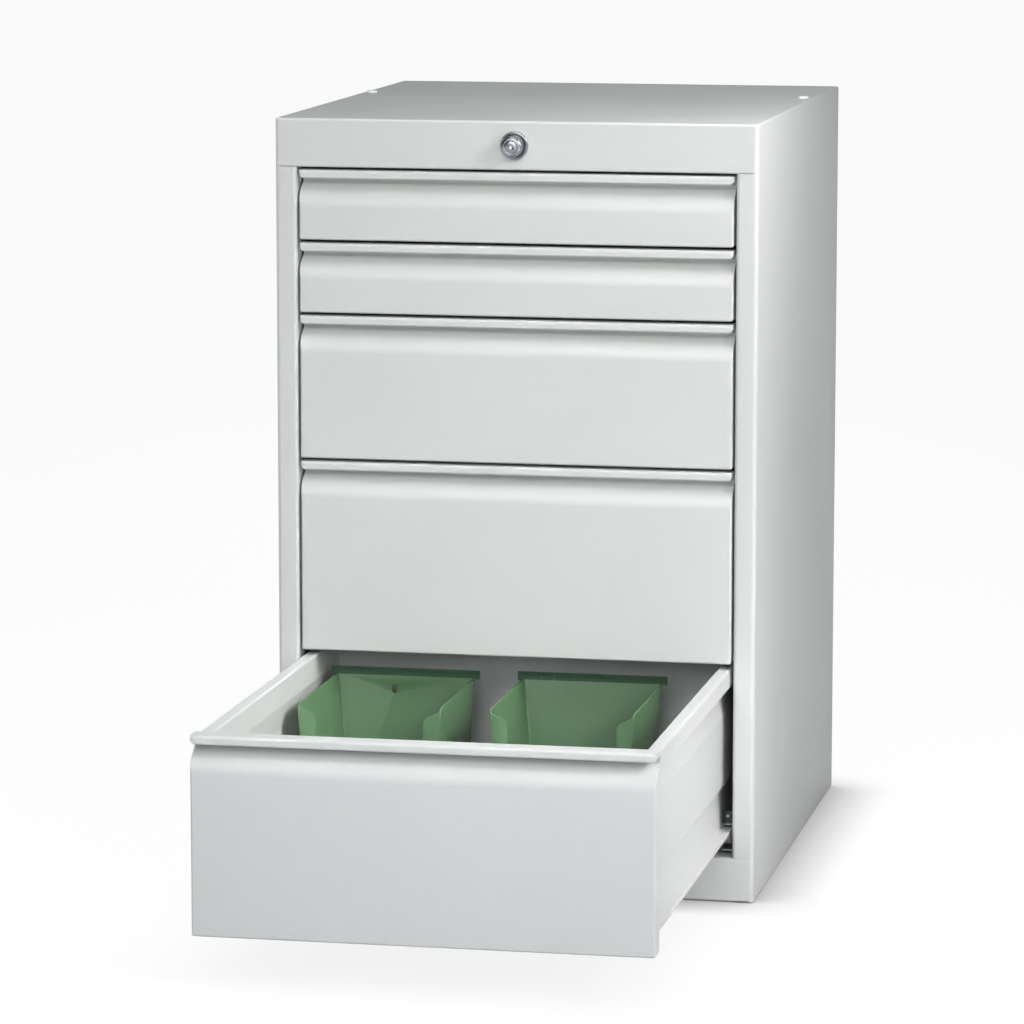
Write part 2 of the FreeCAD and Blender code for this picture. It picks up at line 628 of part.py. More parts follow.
def drawer_catch(number):
    """Hook on a tray's back that the locking bar holds."""
    foot, height, pulled = bay(number)
    back = TRAY_BACK - pulled
    top = foot + CATCH_TOP
    half = CATCH_W / 2
    rear = back + CATCH_REACH
    plate = box(-half, half, back, back + CATCH_T, top - CATCH_PLATE, top + CATCH_T)
    arm = box(-half, half, back, rear, top, top + CATCH_T)
    tongue = box(-half, half, rear - CATCH_T, rear, top - CATCH_TONGUE, top)
    return fused([plate, arm, tongue])


# ---------------------------------------------------------------- central lock
def lock_rod(radius, start, end):
    return rod(radius, vec(0, start, LOCK_Z), vec(0, end, LOCK_Z))


def lock_collar():
    """Round plate between the barrel and the fascia."""
    collar = lock_rod(COLLAR_R, FRONT - COLLAR_T, FRONT)
    rim = [edge for edge in collar.Edges if edge.BoundBox.YMax < FRONT - COLLAR_T / 2]
    collar = collar.makeFillet(COLLAR_EDGE_R, rim)
    return collar.cut(lock_rod(BARREL_R, FRONT - COLLAR_T, FRONT))


def lock_barrel():
    """Fixed barrel through the fascia."""
    barrel = lock_rod(BARREL_R, FRONT - BARREL_OUT, FRONT + BARREL_IN)
    nose = [edge for edge in barrel.Edges if edge.BoundBox.YMax < FRONT - BARREL_OUT / 2]
    barrel = barrel.makeChamfer(BARREL_NOSE, nose)
    return barrel.cut(lock_rod(CORE_R + LOCK_CLEAR, FRONT - BARREL_OUT, FRONT + BARREL_IN))


def lock_core():
    """Turning core with the key slot."""
    face = FRONT - CORE_OUT
    core = lock_rod(CORE_R, face, FRONT + CORE_IN)
    rim = [edge for edge in core.Edges if edge.BoundBox.YMax < face + CORE_EDGE]
    core = core.makeFillet(CORE_EDGE, rim)
    width, height, depth = KEY_SLOT
    slot = box(-width / 2, width / 2, face, face + depth, LOCK_Z - height / 2, LOCK_Z + height / 2)
    slot.rotate(vec(0, 0, LOCK_Z), vec(0, 1, 0), -KEY_TILT)
    return core.cut(slot)


def lock_nut():
    """Hexagon nut that clamps the barrel from behind."""
    start = FRONT + BODY_SHEET
    radius = NUT_ACROSS / 2 / math.cos(math.pi / 6)
    angles = [math.pi / 3 * turn for turn in range(6)]
    corners = [(radius * math.cos(angle), LOCK_Z + radius * math.sin(angle)) for angle in angles]
    nut = block(corners, [0] * 5, in_front_view, start, start + NUT_T)
    return nut.cut(lock_rod(BARREL_R, start, start + NUT_T))


def drive_rod():
    """Rod from the lock core to the rear, with the crank that lifts the locking bar."""
    crank_end = BAR_Y - CRANK_GAP
    shaft = lock_rod(ROD_R, FRONT + CORE_IN, crank_end - CRANK_T)
    crank = lock_rod(CRANK_R, crank_end - CRANK_T, crank_end)
    z = LOCK_Z - BAR_LIFT / 2
    pin = rod(CRANK_PIN_R, vec(CRANK_X, crank_end, z), vec(CRANK_X, BAR_Y + BAR_T + CRANK_PIN_PAST, z))
    return fused([shaft, crank, pin])


def rod_bracket():
    """Plate under the top that carries the rod's rear end."""
    y = REAR - BRACKET_IN
    half = BRACKET_W / 2
    top = CABINET_H - BODY_SHEET
    plate = box(-half, half, y, y + BRACKET_T, LOCK_Z - BRACKET_BELOW, top)
    foot = box(-half, half, y - half, y, top - BRACKET_T, top)
    return fused([plate, foot]).cut(lock_rod(ROD_R + LOCK_CLEAR, y, y + BRACKET_T))


def finger(number):
    """Finger of the locking bar behind one drawer, lowered so that the drawer is free."""
    top = bay(number)[0] + CATCH_TOP - CATCH_TONGUE - FINGER_GAP - BAR_LIFT
    hook_rear = TRAY_BACK + CATCH_REACH - CATCH_T - CATCH_PLAY
    half = FINGER_W / 2
    plate = box(-half, half, hook_rear - FINGER_T, BAR_Y, top - FINGER_T, top)
    hook = box(-half, half, hook_rear - FINGER_T, hook_rear, top, top + FINGER_HOOK)
    return [plate, hook]


def locking_bar():
    """Upright bar behind the drawers, with a finger for each and the crank's slot in its head."""
    foot = bay(DRAWERS[-1])[0] + BAR_FOOT
    pin_z = LOCK_Z - BAR_LIFT / 2
    middle = (CRANK_X + CRANK_THROW) / 2
    back = BAR_Y + BAR_T
    bar = box(-BAR_W / 2, BAR_W / 2, BAR_Y, back, foot, pin_z)
    left, right = middle - HEAD_W / 2, middle + HEAD_W / 2
    head = box(left, right, BAR_Y, back, pin_z - HEAD_H / 2, pin_z + HEAD_H / 2)
    slot_r = CRANK_PIN_R + CRANK_SLOT_CLEAR
    slot = box(CRANK_X - slot_r, CRANK_THROW + slot_r, BAR_Y, back, pin_z - slot_r, pin_z + slot_r)
    fingers = [shape for number in DRAWERS for shape in finger(number)]
    return fused([bar, head] + fingers).cut(slot)


def bar_guides():
    """Straps on the back panel that the bar slides in."""
    inner_x, inner_y = BAR_W / 2 + GUIDE_CLEAR, BAR_Y - GUIDE_CLEAR
    back_y = BAR_Y + BAR_T + GUIDE_CLEAR
    guides = []
    for number in DRAWERS[1::2]:
        top = bay(number)[0] - GUIDE_BELOW
        outer_x = inner_x + GUIDE_T
        outside = box(-outer_x, outer_x, inner_y - GUIDE_T, BACK_PANEL_Y, top - GUIDE_H, top)
        guides.append(outside.cut(box(-inner_x, inner_x, inner_y, back_y, top - GUIDE_H, top)))
    return Part.makeCompound(guides)


# ---------------------------------------------------------------- storage bins
def bin_side_outline():
    """Side view of a bin from its back: high walls that drop through a shoulder to the low sill."""
    points = [(0, 0), (0, BIN_H), (BIN_HIGH, BIN_H), (BIN_HIGH, BIN_SILL), (BIN_L, BIN_SILL), (BIN_L, 0)]
    return points, [0, BIN_SHOULDER_R, BIN_DIP_R, 0, 0]


def bin_cross(half, inset, base):
    """Tapered cross section of a bin along its whole length, shrunk by inset."""
    foot_x = half - BIN_TAPER + BIN_TAPER * base / BIN_H - inset
    head_x = half - inset
    return block([(-foot_x, base), (-head_x, BIN_H), (head_x, BIN_H), (foot_x, base)],
                 [0, 0, 0], in_front_view, -BIN_L, 0)


def bin_slot():
    """Upright slot through a bin's back."""
    radius, length = BIN_HOLE
    middle = BIN_H - BIN_HOLE_DROP
    low, high = middle - length / 2, middle + length / 2
    ends = [rod(radius, vec(-BIN_HOLE_OFF, -BIN_WALL, z), vec(-BIN_HOLE_OFF, 0, z)) for z in (low, high)]
    return fused(ends + [box(-BIN_HOLE_OFF - radius, -BIN_HOLE_OFF + radius, -BIN_WALL, 0, low, high)])


def storage_bin():
    """Open-front bin with drafted sides, cheeks beside its front and a lip along its back."""
    reach, rise = BIN_LIP
    half = BIN_W / 2 - reach
    path, radii = bin_side_outline()
    profile = block([(-y, z) for y, z in path], radii, in_side_view, -BIN_W, BIN_W)
    solid = bin_cross(half, 0, 0).common(profile)
    inside = box(-BIN_W, BIN_W, -BIN_L + BIN_WALL, -BIN_WALL, BIN_WALL, BIN_H)
    room = bin_cross(half, BIN_WALL, BIN_WALL).common(inside)
    inner = half - BIN_CHEEK
    outline = [(half, BIN_WALL), (inner, BIN_WALL), (inner, BIN_H - BIN_CHEEK_FALL), (half, BIN_H)]
    cheek = block(outline, [0, 0, 0], in_front_view, -BIN_HIGH, -BIN_HIGH + BIN_WALL).common(solid)
    lip = box(-BIN_W / 2, BIN_W / 2, -BIN_WALL, 0, BIN_H, BIN_H + rise)
    return fused([solid.cut(room), cheek, mirrored(cheek), lip])


def placed_bin(shape, x, behind):
    """A bin on the floor of the bottom drawer."""
    foot, height, pulled = bay(DRAWERS[-1])
    back = TRAY_BACK - pulled - DRAWER_SHEET - behind
    shape.translate(vec(x, back, foot + FLOOR_LEVEL + BIN_LIFT))
    return shape


# ---------------------------------------------------------------- write every piece
def write_body():
    right = side_panel()
    save("side_panel_right", right)
    save("side_panel_left", mirrored(right))
    save("top_panel", top_panel())
    save("back_panel", back_panel())
    save("base_panel", base_panel())
    save("floor_glides", floor_glides())
    save("top_plugs", top_plugs())
    for place, middle in zip(("front", "rear"), post_middles()):
        right = post(middle)
        save("%s_post_right" % place, right)
        save("%s_post_left" % place, mirrored(right))
    save("guide_shoes", guide_shoes())
    save("rail_screws", rail_screws())


def write_drawers():
    for number in DRAWERS:
        save("drawer_front_%d" % number, drawer_front(number))
        save("drawer_tray_%d" % number, drawer_tray(number))
        save("drawer_catch_%d" % number, drawer_catch(number))
        save("cabinet_rails_%d" % number, both_sides(rail(number)))
        save("front_rollers_%d" % number, both_sides(front_roller(number)))
        save("rear_rollers_%d" % number, both_sides(rear_roller(number)))


def write_lock():
    save("lock_collar", lock_collar())
    save("lock_barrel", lock_barrel())
    save("lock_core", lock_core())
    save("lock_nut", lock_nut())
    save("drive_rod", drive_rod())
    save("rod_bracket", rod_bracket())
    save("locking_bar", locking_bar())
    save("bar_guides", bar_guides())


def write_bins():
    left_space, right_space = BIN_BEHIND
    save("storage_bin_left", placed_bin(storage_bin().cut(bin_slot()), BIN_LEFT_X, left_space))
    save("storage_bin_right", placed_bin(storage_bin(), BIN_RIGHT_X, right_space))


os.makedirs("parts", exist_ok=True)
write_body()
write_drawers()
write_lock()
write_bins()
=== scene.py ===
"""Models and paints a steel drawer cabinet: coated sheet, plated runners, a nickel lock and two bins."""
import math

import bmesh
import bpy
from bpy.props import FloatProperty, FloatVectorProperty, PointerProperty
from mathutils import Matrix, Vector


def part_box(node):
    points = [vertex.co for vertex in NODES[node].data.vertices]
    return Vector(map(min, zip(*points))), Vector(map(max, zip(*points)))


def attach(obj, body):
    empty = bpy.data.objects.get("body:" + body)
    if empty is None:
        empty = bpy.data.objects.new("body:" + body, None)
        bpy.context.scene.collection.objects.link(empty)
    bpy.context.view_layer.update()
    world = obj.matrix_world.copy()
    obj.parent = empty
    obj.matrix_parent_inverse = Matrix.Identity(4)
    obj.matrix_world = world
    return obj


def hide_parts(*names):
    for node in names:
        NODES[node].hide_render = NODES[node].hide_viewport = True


bl_info = {
    "name": "Drawer Cabinet",
    "version": (1, 0, 0),
    "blender": (4, 5, 0),
    "location": "View3D > Sidebar > Cabinet",
    "description": "Models and paints the visible pieces of a steel drawer cabinet",
    "category": "Object",
}

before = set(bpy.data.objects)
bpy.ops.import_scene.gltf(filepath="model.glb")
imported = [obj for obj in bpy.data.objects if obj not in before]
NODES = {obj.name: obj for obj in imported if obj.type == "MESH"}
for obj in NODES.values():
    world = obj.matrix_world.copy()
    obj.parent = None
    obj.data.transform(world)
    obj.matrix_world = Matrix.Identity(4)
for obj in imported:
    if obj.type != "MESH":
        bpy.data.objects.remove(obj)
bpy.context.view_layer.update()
DRAWERS = range(1, 6)
MM = 0.001
CLOSE = 0.1 * MM        # two places nearer than this count as one
MERGED = CLOSE / 20     # points nearer than this are merged
SQUARE = 0.99           # a face whose normal reaches this far along an axis looks along it
OVERCUT = 1.0 * MM      # how far a cutter stands out of what it cuts


# ---------------------------------------------------------------- node building
def new_node(tree, kind, **settings):
    """A node of a tree, with its plain settings and its unlinked inputs filled in."""
    node = tree.nodes.new(kind)
    for key, value in settings.items():
        if key in node.bl_rna.properties:
            setattr(node, key, value)
        else:
            node.inputs[key.replace("_", " ")].default_value = value
    return node


def new_group(name, inputs, outputs):
    """An empty shader node group with named sockets. An input gives its kind and its value."""
    group = bpy.data.node_groups.new(name, "ShaderNodeTree")
    for socket, kind, value in inputs:
        made = group.interface.new_socket(name=socket, in_out="INPUT", socket_type="NodeSocket" + kind)
        made.default_value = value
    for socket, kind in outputs:
        group.interface.new_socket(name=socket, in_out="OUTPUT", socket_type="NodeSocket" + kind)
    return group, group.nodes.new("NodeGroupInput"), group.nodes.new("NodeGroupOutput")


def feed(tree, socket, value):
    """Links an output to a socket, or writes a plain value on it."""
    if isinstance(value, bpy.types.NodeSocket):
        tree.links.new(value, socket)
    else:
        socket.default_value = value


def ramp(tree, factor, low, high, low_value, high_value):
    """Maps factor from low..high to low_value..high_value, held at both ends."""
    node = new_node(tree, "ShaderNodeMapRange")
    for socket, value in (("Value", factor), ("From Min", low), ("From Max", high), ("To Min", low_value),
                          ("To Max", high_value)):
        feed(tree, node.inputs[socket], value)
    return node.outputs["Result"]


def noise(tree, vector, scale, detail, roughness):
    """A noise pattern from 0 to 1."""
    node = new_node(tree, "ShaderNodeTexNoise", Detail=detail, Roughness=roughness)
    feed(tree, node.inputs["Vector"], vector)
    feed(tree, node.inputs["Scale"], scale)
    return node.outputs["Fac"]


def math_node(tree, operation, first, second):
    """A sum, difference, product or the like of two values."""
    node = new_node(tree, "ShaderNodeMath", operation=operation)
    for index, value in enumerate((first, second)):
        feed(tree, node.inputs[index], value)
    return node.outputs[0]


def blended(tree, factor, first, second, blend_type="MIX"):
    """Two colours mixed by a factor."""
    node = new_node(tree, "ShaderNodeMix", data_type="RGBA", blend_type=blend_type)
    for index, value in ((0, factor), (6, first), (7, second)):
        feed(tree, node.inputs[index], value)
    return node.outputs[2]


def dimmed(tree, colour, shade):
    """A colour multiplied by a grey shade."""
    grey = new_node(tree, "ShaderNodeCombineColor")
    for channel in grey.inputs:
        tree.links.new(shade, channel)
    return blended(tree, 1.0, colour, grey.outputs[0], "MULTIPLY")


FINISH_OUTPUTS = [("Colour", "Color"), ("Roughness", "Float"), ("Height", "Float")]
NOISE_SPAN = (0.3, 0.7)     # the part of a noise pattern's range that shows
SCUFF_SPAN = (0.66, 0.8)    # the same for scuffs, which are only its peaks


def put_out(group, outs, *values):
    """Sends the colour, the roughness and the height of a finish out of its group."""
    for (name, _), value in zip(FINISH_OUTPUTS, values):
        group.links.new(value, outs.inputs[name])


def powder_coat_group():
    """Powder coat: orange peel, fine grain and a faint cloudiness of tone."""
    if "Powder coat" in bpy.data.node_groups:
        return bpy.data.node_groups["Powder coat"]
    group, ins, outs = new_group(
        "Powder coat",
        [("Vector", "Vector", (0, 0, 0)), ("Colour", "Color", (0.7, 0.7, 0.7, 1)), ("Cloud", "Float", 0.03),
         ("Grain", "Float", 0.04), ("Roughness", "Float", 0.45), ("Peel Scale", "Float", 420.0)],
        FINISH_OUTPUTS)
    vector = ins.outputs["Vector"]
    cloud = noise(group, vector, 6.0, detail=4.0, roughness=0.6)
    grain = noise(group, vector, 1900.0, detail=1.0, roughness=0.7)
    peel = noise(group, vector, ins.outputs["Peel Scale"], detail=2.0, roughness=0.45)
    dark = math_node(group, "SUBTRACT", 1.0, ins.outputs["Cloud"])
    tone = ramp(group, cloud, *NOISE_SPAN, dark, 1.0)
    speck_low = math_node(group, "SUBTRACT", 1.0, ins.outputs["Grain"])
    speck = ramp(group, grain, *NOISE_SPAN, speck_low, 1.0)
    colour = dimmed(group, ins.outputs["Colour"], math_node(group, "MULTIPLY", tone, speck))
    rough = math_node(group, "ADD", ins.outputs["Roughness"], ramp(group, cloud, *NOISE_SPAN, -0.05, 0.05))
    grain_share = 0.35      # of the grain in the height, beside the peel
    height = math_node(group, "ADD", peel, math_node(group, "MULTIPLY", grain, grain_share))
    put_out(group, outs, colour, rough, height)
    return group


def plated_group():
    """Plated or milled steel: grain drawn out along one axis, and broad cloudy patches."""
    if "Plated steel" in bpy.data.node_groups:
        return bpy.data.node_groups["Plated steel"]
    group, ins, outs = new_group(
        "Plated steel",
        [("Vector", "Vector", (0, 0, 0)), ("Colour", "Color", (0.6, 0.6, 0.6, 1)), ("Grain", "Float", 0.12),
         ("Roughness", "Float", 0.35)],
        FINISH_OUTPUTS)
    stretch = new_node(group, "ShaderNodeMapping", Scale=(1.0, 0.03, 1.0))
    group.links.new(ins.outputs["Vector"], stretch.inputs["Vector"])
    lines = noise(group, stretch.outputs["Vector"], 900.0, detail=3.0, roughness=0.6)
    patches = noise(group, ins.outputs["Vector"], 38.0, detail=3.0, roughness=0.55)
    low = math_node(group, "SUBTRACT", 1.0, ins.outputs["Grain"])
    line_shade, patch_shade = (ramp(group, pattern, *NOISE_SPAN, low, 1.0) for pattern in (lines, patches))
    colour = dimmed(group, ins.outputs["Colour"], math_node(group, "MULTIPLY", line_shade, patch_shade))
    rough = math_node(group, "ADD", ins.outputs["Roughness"], ramp(group, patches, *NOISE_SPAN, -0.08, 0.1))
    put_out(group, outs, colour, rough, lines)
    return group


def moulded_group():
    """Moulded plastic: fine spark-eroded grain, flow clouds and a few pale scuffs."""
    if "Moulded plastic" in bpy.data.node_groups:
        return bpy.data.node_groups["Moulded plastic"]
    group, ins, outs = new_group(
        "Moulded plastic",
        [("Vector", "Vector", (0, 0, 0)), ("Colour", "Color", (0.5, 0.5, 0.5, 1)),
         ("Scuff Colour", "Color", (0.8, 0.8, 0.8, 1)), ("Cloud", "Float", 0.1), ("Scuffs", "Float", 0.3),
         ("Roughness", "Float", 0.4)],
        FINISH_OUTPUTS)
    vector = ins.outputs["Vector"]
    cloud = noise(group, vector, 26.0, detail=4.0, roughness=0.6)
    grain = noise(group, vector, 1500.0, detail=2.0, roughness=0.6)
    stretch = new_node(group, "ShaderNodeMapping", Rotation=(0.3, 0.5, 0.9), Scale=(1.0, 0.07, 0.25))
    group.links.new(vector, stretch.inputs["Vector"])
    scratches = noise(group, stretch.outputs["Vector"], 330.0, detail=3.0, roughness=0.65)
    low = math_node(group, "SUBTRACT", 1.0, ins.outputs["Cloud"])
    base = dimmed(group, ins.outputs["Colour"], ramp(group, cloud, *NOISE_SPAN, low, 1.0))
    mask = math_node(group, "MULTIPLY", ramp(group, scratches, *SCUFF_SPAN, 0.0, 1.0), ins.outputs["Scuffs"])
    colour = blended(group, mask, base, ins.outputs["Scuff Colour"])
    scuff_roughness = 0.3
    rough = math_node(group, "ADD", ins.outputs["Roughness"],
                      math_node(group, "MULTIPLY", mask, scuff_roughness))
    put_out(group, outs, colour, rough, grain)
    return group


def finish(name, group, colour, values, bump, bump_depth=0.1 * MM, **principled):
    """A material made of one finish group, a bump and a Principled shader with its own plain values."""
    material = bpy.data.materials.new(name)
    material.use_nodes = True
    tree = material.node_tree
    shader = tree.nodes["Principled BSDF"]
    for socket, value in principled.items():
        shader.inputs[socket.replace("_", " ")].default_value = value
    coordinates = new_node(tree, "ShaderNodeTexCoord")
    look = new_node(tree, "ShaderNodeGroup", node_tree=group)
    tree.links.new(coordinates.outputs["Object"], look.inputs["Vector"])
    look.inputs["Colour"].default_value = (*colour, 1.0)
    for socket, value in values.items():
        look.inputs[socket].default_value = value
    relief = new_node(tree, "ShaderNodeBump", Strength=bump, Distance=bump_depth)
    tree.links.new(look.outputs["Colour"], shader.inputs["Base Color"])
    tree.links.new(look.outputs["Roughness"], shader.inputs["Roughness"])
    tree.links.new(look.outputs["Height"], relief.inputs["Height"])
    tree.links.new(relief.outputs["Normal"], shader.inputs["Normal"])
    return material


# ---------------------------------------------------------------- modelling by hand
def start(name, add, **settings):
    """Adds a primitive with nothing else selected, puts its place in its mesh and opens it for editing."""
    bpy.ops.object.select_all(action="DESELECT")
    add(**settings)
    piece = bpy.context.object
    piece.name = name
    piece.data.name = name
    bpy.ops.object.transform_apply(location=True, rotation=True, scale=True)
    bpy.ops.object.mode_set(mode="EDIT")
    return piece


def start_block(name, low, high):
    """A block between two corners, open for editing."""
    middle = [(a + b) / 2 for a, b in zip(low, high)]
    size = [b - a for a, b in zip(low, high)]
    return start(name, bpy.ops.mesh.primitive_cube_add, size=1.0, location=middle, scale=size)


def start_disc(name, radius, low, high, axis, vertices=96):
    """A cylinder from the point low to the point high, along the X, Y or Z axis, open for editing."""
    turn = {"X": (0, math.radians(90), 0), "Y": (math.radians(90), 0, 0), "Z": (0, 0, 0)}[axis]
    middle = (Vector(low) + Vector(high)) / 2
    return start(name, bpy.ops.mesh.primitive_cylinder_add, vertices=vertices, radius=radius,
                 depth=(Vector(high) - Vector(low)).length, location=middle, rotation=turn)


def pick(kind, test):
    """Selects the faces, edges or vertices in edit mode that pass a test."""
    bpy.ops.mesh.select_mode(type=kind)
    bpy.ops.mesh.select_all(action="DESELECT")
    mesh = bpy.context.object.data
    form = bmesh.from_edit_mesh(mesh)
    items = {"FACE": form.faces, "EDGE": form.edges, "VERT": form.verts}[kind]
    found = [item for item in items if test(item)]
    if not found:
        raise RuntimeError("Nothing was found to select on " + mesh.name)
    for item in found:
        item.select_set(True)
    form.select_flush_mode()
    bmesh.update_edit_mesh(mesh)


def near(value, target):
    """Whether two places count as one."""
    return abs(value - target) < CLOSE


def facing(axis, sign):
    """A test for faces that look along one axis."""
    return lambda face: face.normal[axis] * sign > SQUARE


def edge_at(axis, place):
    """A test for edges that lie in a plane across one axis."""
    return lambda edge: all(near(vertex.co[axis], place) for vertex in edge.verts)


def edge_along(axis, **places):
    """A test for straight edges along one axis, at given places on the other axes."""
    def test(edge):
        first, second = (vertex.co for vertex in edge.verts)
        line = second - first
        straight = abs(line[axis]) > 0.9 * line.length
        return straight and all(near(first["xyz".index(key)], place) for key, place in places.items())
    return test


def inset(thickness, depth=0.0):
    """Insets the selected faces, and moves them out by a depth."""
    bpy.ops.mesh.inset(thickness=thickness, depth=depth, use_boundary=True, use_even_offset=True)


def groove(axis, margin, slope, depth):
    """Sinks the middle of the face that looks back along an axis."""
    pick("FACE", facing(axis, -1))
    inset(margin)
    inset(slope, -depth)


def round_edges(radius, segments=4):
    """Rounds the selected edges."""
    bpy.ops.mesh.bevel(offset=radius, segments=segments, affect="EDGES", clamp_overlap=False)


def end_editing(piece):
    """Merges doubles, turns all faces outwards and leaves edit mode."""
    bpy.ops.mesh.select_all(action="SELECT")
    bpy.ops.mesh.remove_doubles(threshold=MERGED)
    bpy.ops.mesh.normals_make_consistent(inside=False)
    bpy.ops.object.mode_set(mode="OBJECT")
    return piece


def make_active(piece):
    """Selects a piece alone and makes it active."""
    bpy.ops.object.select_all(action="DESELECT")
    piece.select_set(True)
    bpy.context.view_layer.objects.active = piece


def combine(piece, tool, operation):
    """Cuts a tool out of a piece, or adds it, and deletes the tool."""
    make_active(piece)
    modifier = piece.modifiers.new("Combine", "BOOLEAN")
    modifier.object = tool
    modifier.operation = operation
    modifier.solver = "MANIFOLD"
    bpy.ops.object.modifier_apply(modifier=modifier.name)
    bpy.data.objects.remove(tool)


def soften(piece, width, segments=2, angle=40.0):
    """Rounds every sharp edge a little and shades the piece smooth between its edges."""
    make_active(piece)
    modifier = piece.modifiers.new("Soften", "BEVEL")
    modifier.width = width
    modifier.segments = segments
    modifier.limit_method = "ANGLE"
    modifier.angle_limit = math.radians(angle)
    bpy.ops.object.modifier_apply(modifier=modifier.name)
    bpy.ops.object.shade_smooth_by_angle(angle=math.radians(angle))


def copied(piece, name, move):
    """A copy of a piece with its own mesh, moved by a matrix."""
    twin = bpy.data.objects.new(name, piece.data.copy())
    bpy.context.collection.objects.link(twin)
    twin.data.transform(move)
    if move.determinant() < 0:
        twin.data.flip_normals()
    return twin


def joined(parts, name):
    """One piece made of several."""
    make_active(parts[0])
    for part in parts[1:]:
        part.select_set(True)
    bpy.ops.object.join()
    parts[0].name = name
    parts[0].data.name = name
    return parts[0]


def dress(piece, node, body, slot, *materials):
    """Lets a finished piece stand for a CAD node, on its body and with its finish."""
    piece.data.materials.clear()
    for material in materials:
        piece.data.materials.append(material)
    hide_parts(node)
    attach(piece, body)


def corners(node):
    """The lowest and the highest corner of a CAD node."""
    return tuple(Vector(corner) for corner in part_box(node))


def solids_in(node):
    """The corners of each separate solid of a CAD node, in a fixed order."""
    form = bmesh.new()
    form.from_mesh(NODES[node].data)
    bmesh.ops.remove_doubles(form, verts=form.verts, dist=MERGED)
    waiting = set(form.verts)
    found = []
    while waiting:
        edge_of_solid = [waiting.pop()]
        places = []
        while edge_of_solid:
            vertex = edge_of_solid.pop()
            places.append(vertex.co.copy())
            for other in (edge.other_vert(vertex) for edge in vertex.link_edges):
                if other in waiting:
                    waiting.remove(other)
                    edge_of_solid.append(other)
        low = Vector([min(place[axis] for place in places) for axis in range(3)])
        high = Vector([max(place[axis] for place in places) for axis in range(3)])
        found.append((low, high))
    form.free()
    return sorted(found, key=lambda box: [round(value, 5) for value in box[0]])


def turned(name, radius, low, high, axis, sides, steps, bore=False, vertices=96):
    """A turned part, open for editing. Each step in its ends is a width and a rise in millimetres."""
    piece = start_disc(name, radius, low, high, axis, vertices)
    index = "XYZ".index(axis)
    pick("FACE", lambda face: any(face.normal[index] * side > SQUARE for side in sides))
    for width, rise in steps:
        inset(width * MM, rise * MM)
    if bore:
        bpy.ops.mesh.bridge_edge_loops()
    return piece


def on_rim(axis, place, middle, radius):
    """A test for the edges of a circle round an axis through middle."""
    def test(edge):
        for vertex in edge.verts:
            arm = vertex.co - middle
            arm[axis] = 0
            if not near(vertex.co[axis], place) or not near(arm.length, radius):
                return False
        return True
    return test


def capsule(name, radius, low, high, middle, length, vertices=32):
    """A round-ended cutter along Y, upright, from the Y place low to high."""
    x, z = middle
    piece = start_disc(name, radius, (x, low, z), (x, high, z), "Y", vertices)
    bpy.ops.mesh.bisect(plane_co=(x, 0, z), plane_no=(0, 0, 1))
    for sign in (-1, 1):
        pick("VERT", lambda vertex: (vertex.co.z - z) * sign > CLOSE)
        bpy.ops.transform.translate(value=(0, 0, sign * length / 2))
    return end_editing(piece)


# ---------------------------------------------------------------- settings
class CabinetPaintSettings(bpy.types.PropertyGroup):
    coat: FloatVectorProperty(name="Powder coat", description="Colour of the powder-coated sheet",
                              subtype="COLOR", size=3, default=(0.71, 0.715, 0.705), min=0.0, max=1.0)
    bin_green: FloatVectorProperty(name="Bin green", description="Colour of the moulded bins",
                                   subtype="COLOR", size=3, default=(0.112, 0.218, 0.106), min=0.0, max=1.0)
    # The lip green is darker than the bins' own green: painted shade along the lip.
    bin_lip_shade: FloatVectorProperty(name="Bin lip green", description="Colour of the lip along a bin's back",
                                  subtype="COLOR", size=3, default=(0.028, 0.079, 0.040), min=0.0, max=1.0)
    zinc: FloatVectorProperty(name="Zinc", description="Colour of the plated runners", subtype="COLOR",
                              size=3, default=(0.50, 0.52, 0.54), min=0.0, max=1.0)
    # Nickel kept darker than bare metal: partly the metal's own colour, partly painted reflection of dark
    # surroundings.
    nickel: FloatVectorProperty(name="Nickel", description="Colour of the lock's polished metal",
                                subtype="COLOR", size=3, default=(0.33, 0.34, 0.36), min=0.0, max=1.0)
    # The shoes' near-black paints the shade in the runners' gap.
    shoe_shade_grey: FloatVectorProperty(name="Shoe grey", description="Colour of the plastic guide shoes",
                                   subtype="COLOR", size=3, default=(0.045, 0.05, 0.06), min=0.0, max=1.0)


class CabinetSizeSettings(bpy.types.PropertyGroup):
    nose: FloatProperty(name="Lock nose", description="Rounding of the lock barrel's front edge",
                        default=3.4 * MM, subtype="DISTANCE", unit="LENGTH")
    bin_edge: FloatProperty(name="Bin edge", description="Rounding of the bins' moulded edges",
                            default=0.6 * MM, subtype="DISTANCE", unit="LENGTH")
    bin_wall: FloatProperty(name="Bin wall", description="Thickness of the bins' walls", default=2.4 * MM,
                            subtype="DISTANCE", unit="LENGTH")
    small_edge: FloatProperty(name="Small edge", description="Rounding of small turned and moulded parts",
                              default=0.35 * MM, subtype="DISTANCE", unit="LENGTH")


class CabinetStageSettings(bpy.types.PropertyGroup):
    lens: FloatProperty(name="Lens", description="Focal length of the camera in millimetres", default=172.02)
    lamps: FloatProperty(name="Lamps", description="Power that the lamps share", default=60.0,
                         subtype="POWER")
    sky: FloatProperty(name="Room light", description="Strength of the even room light", default=0.1)


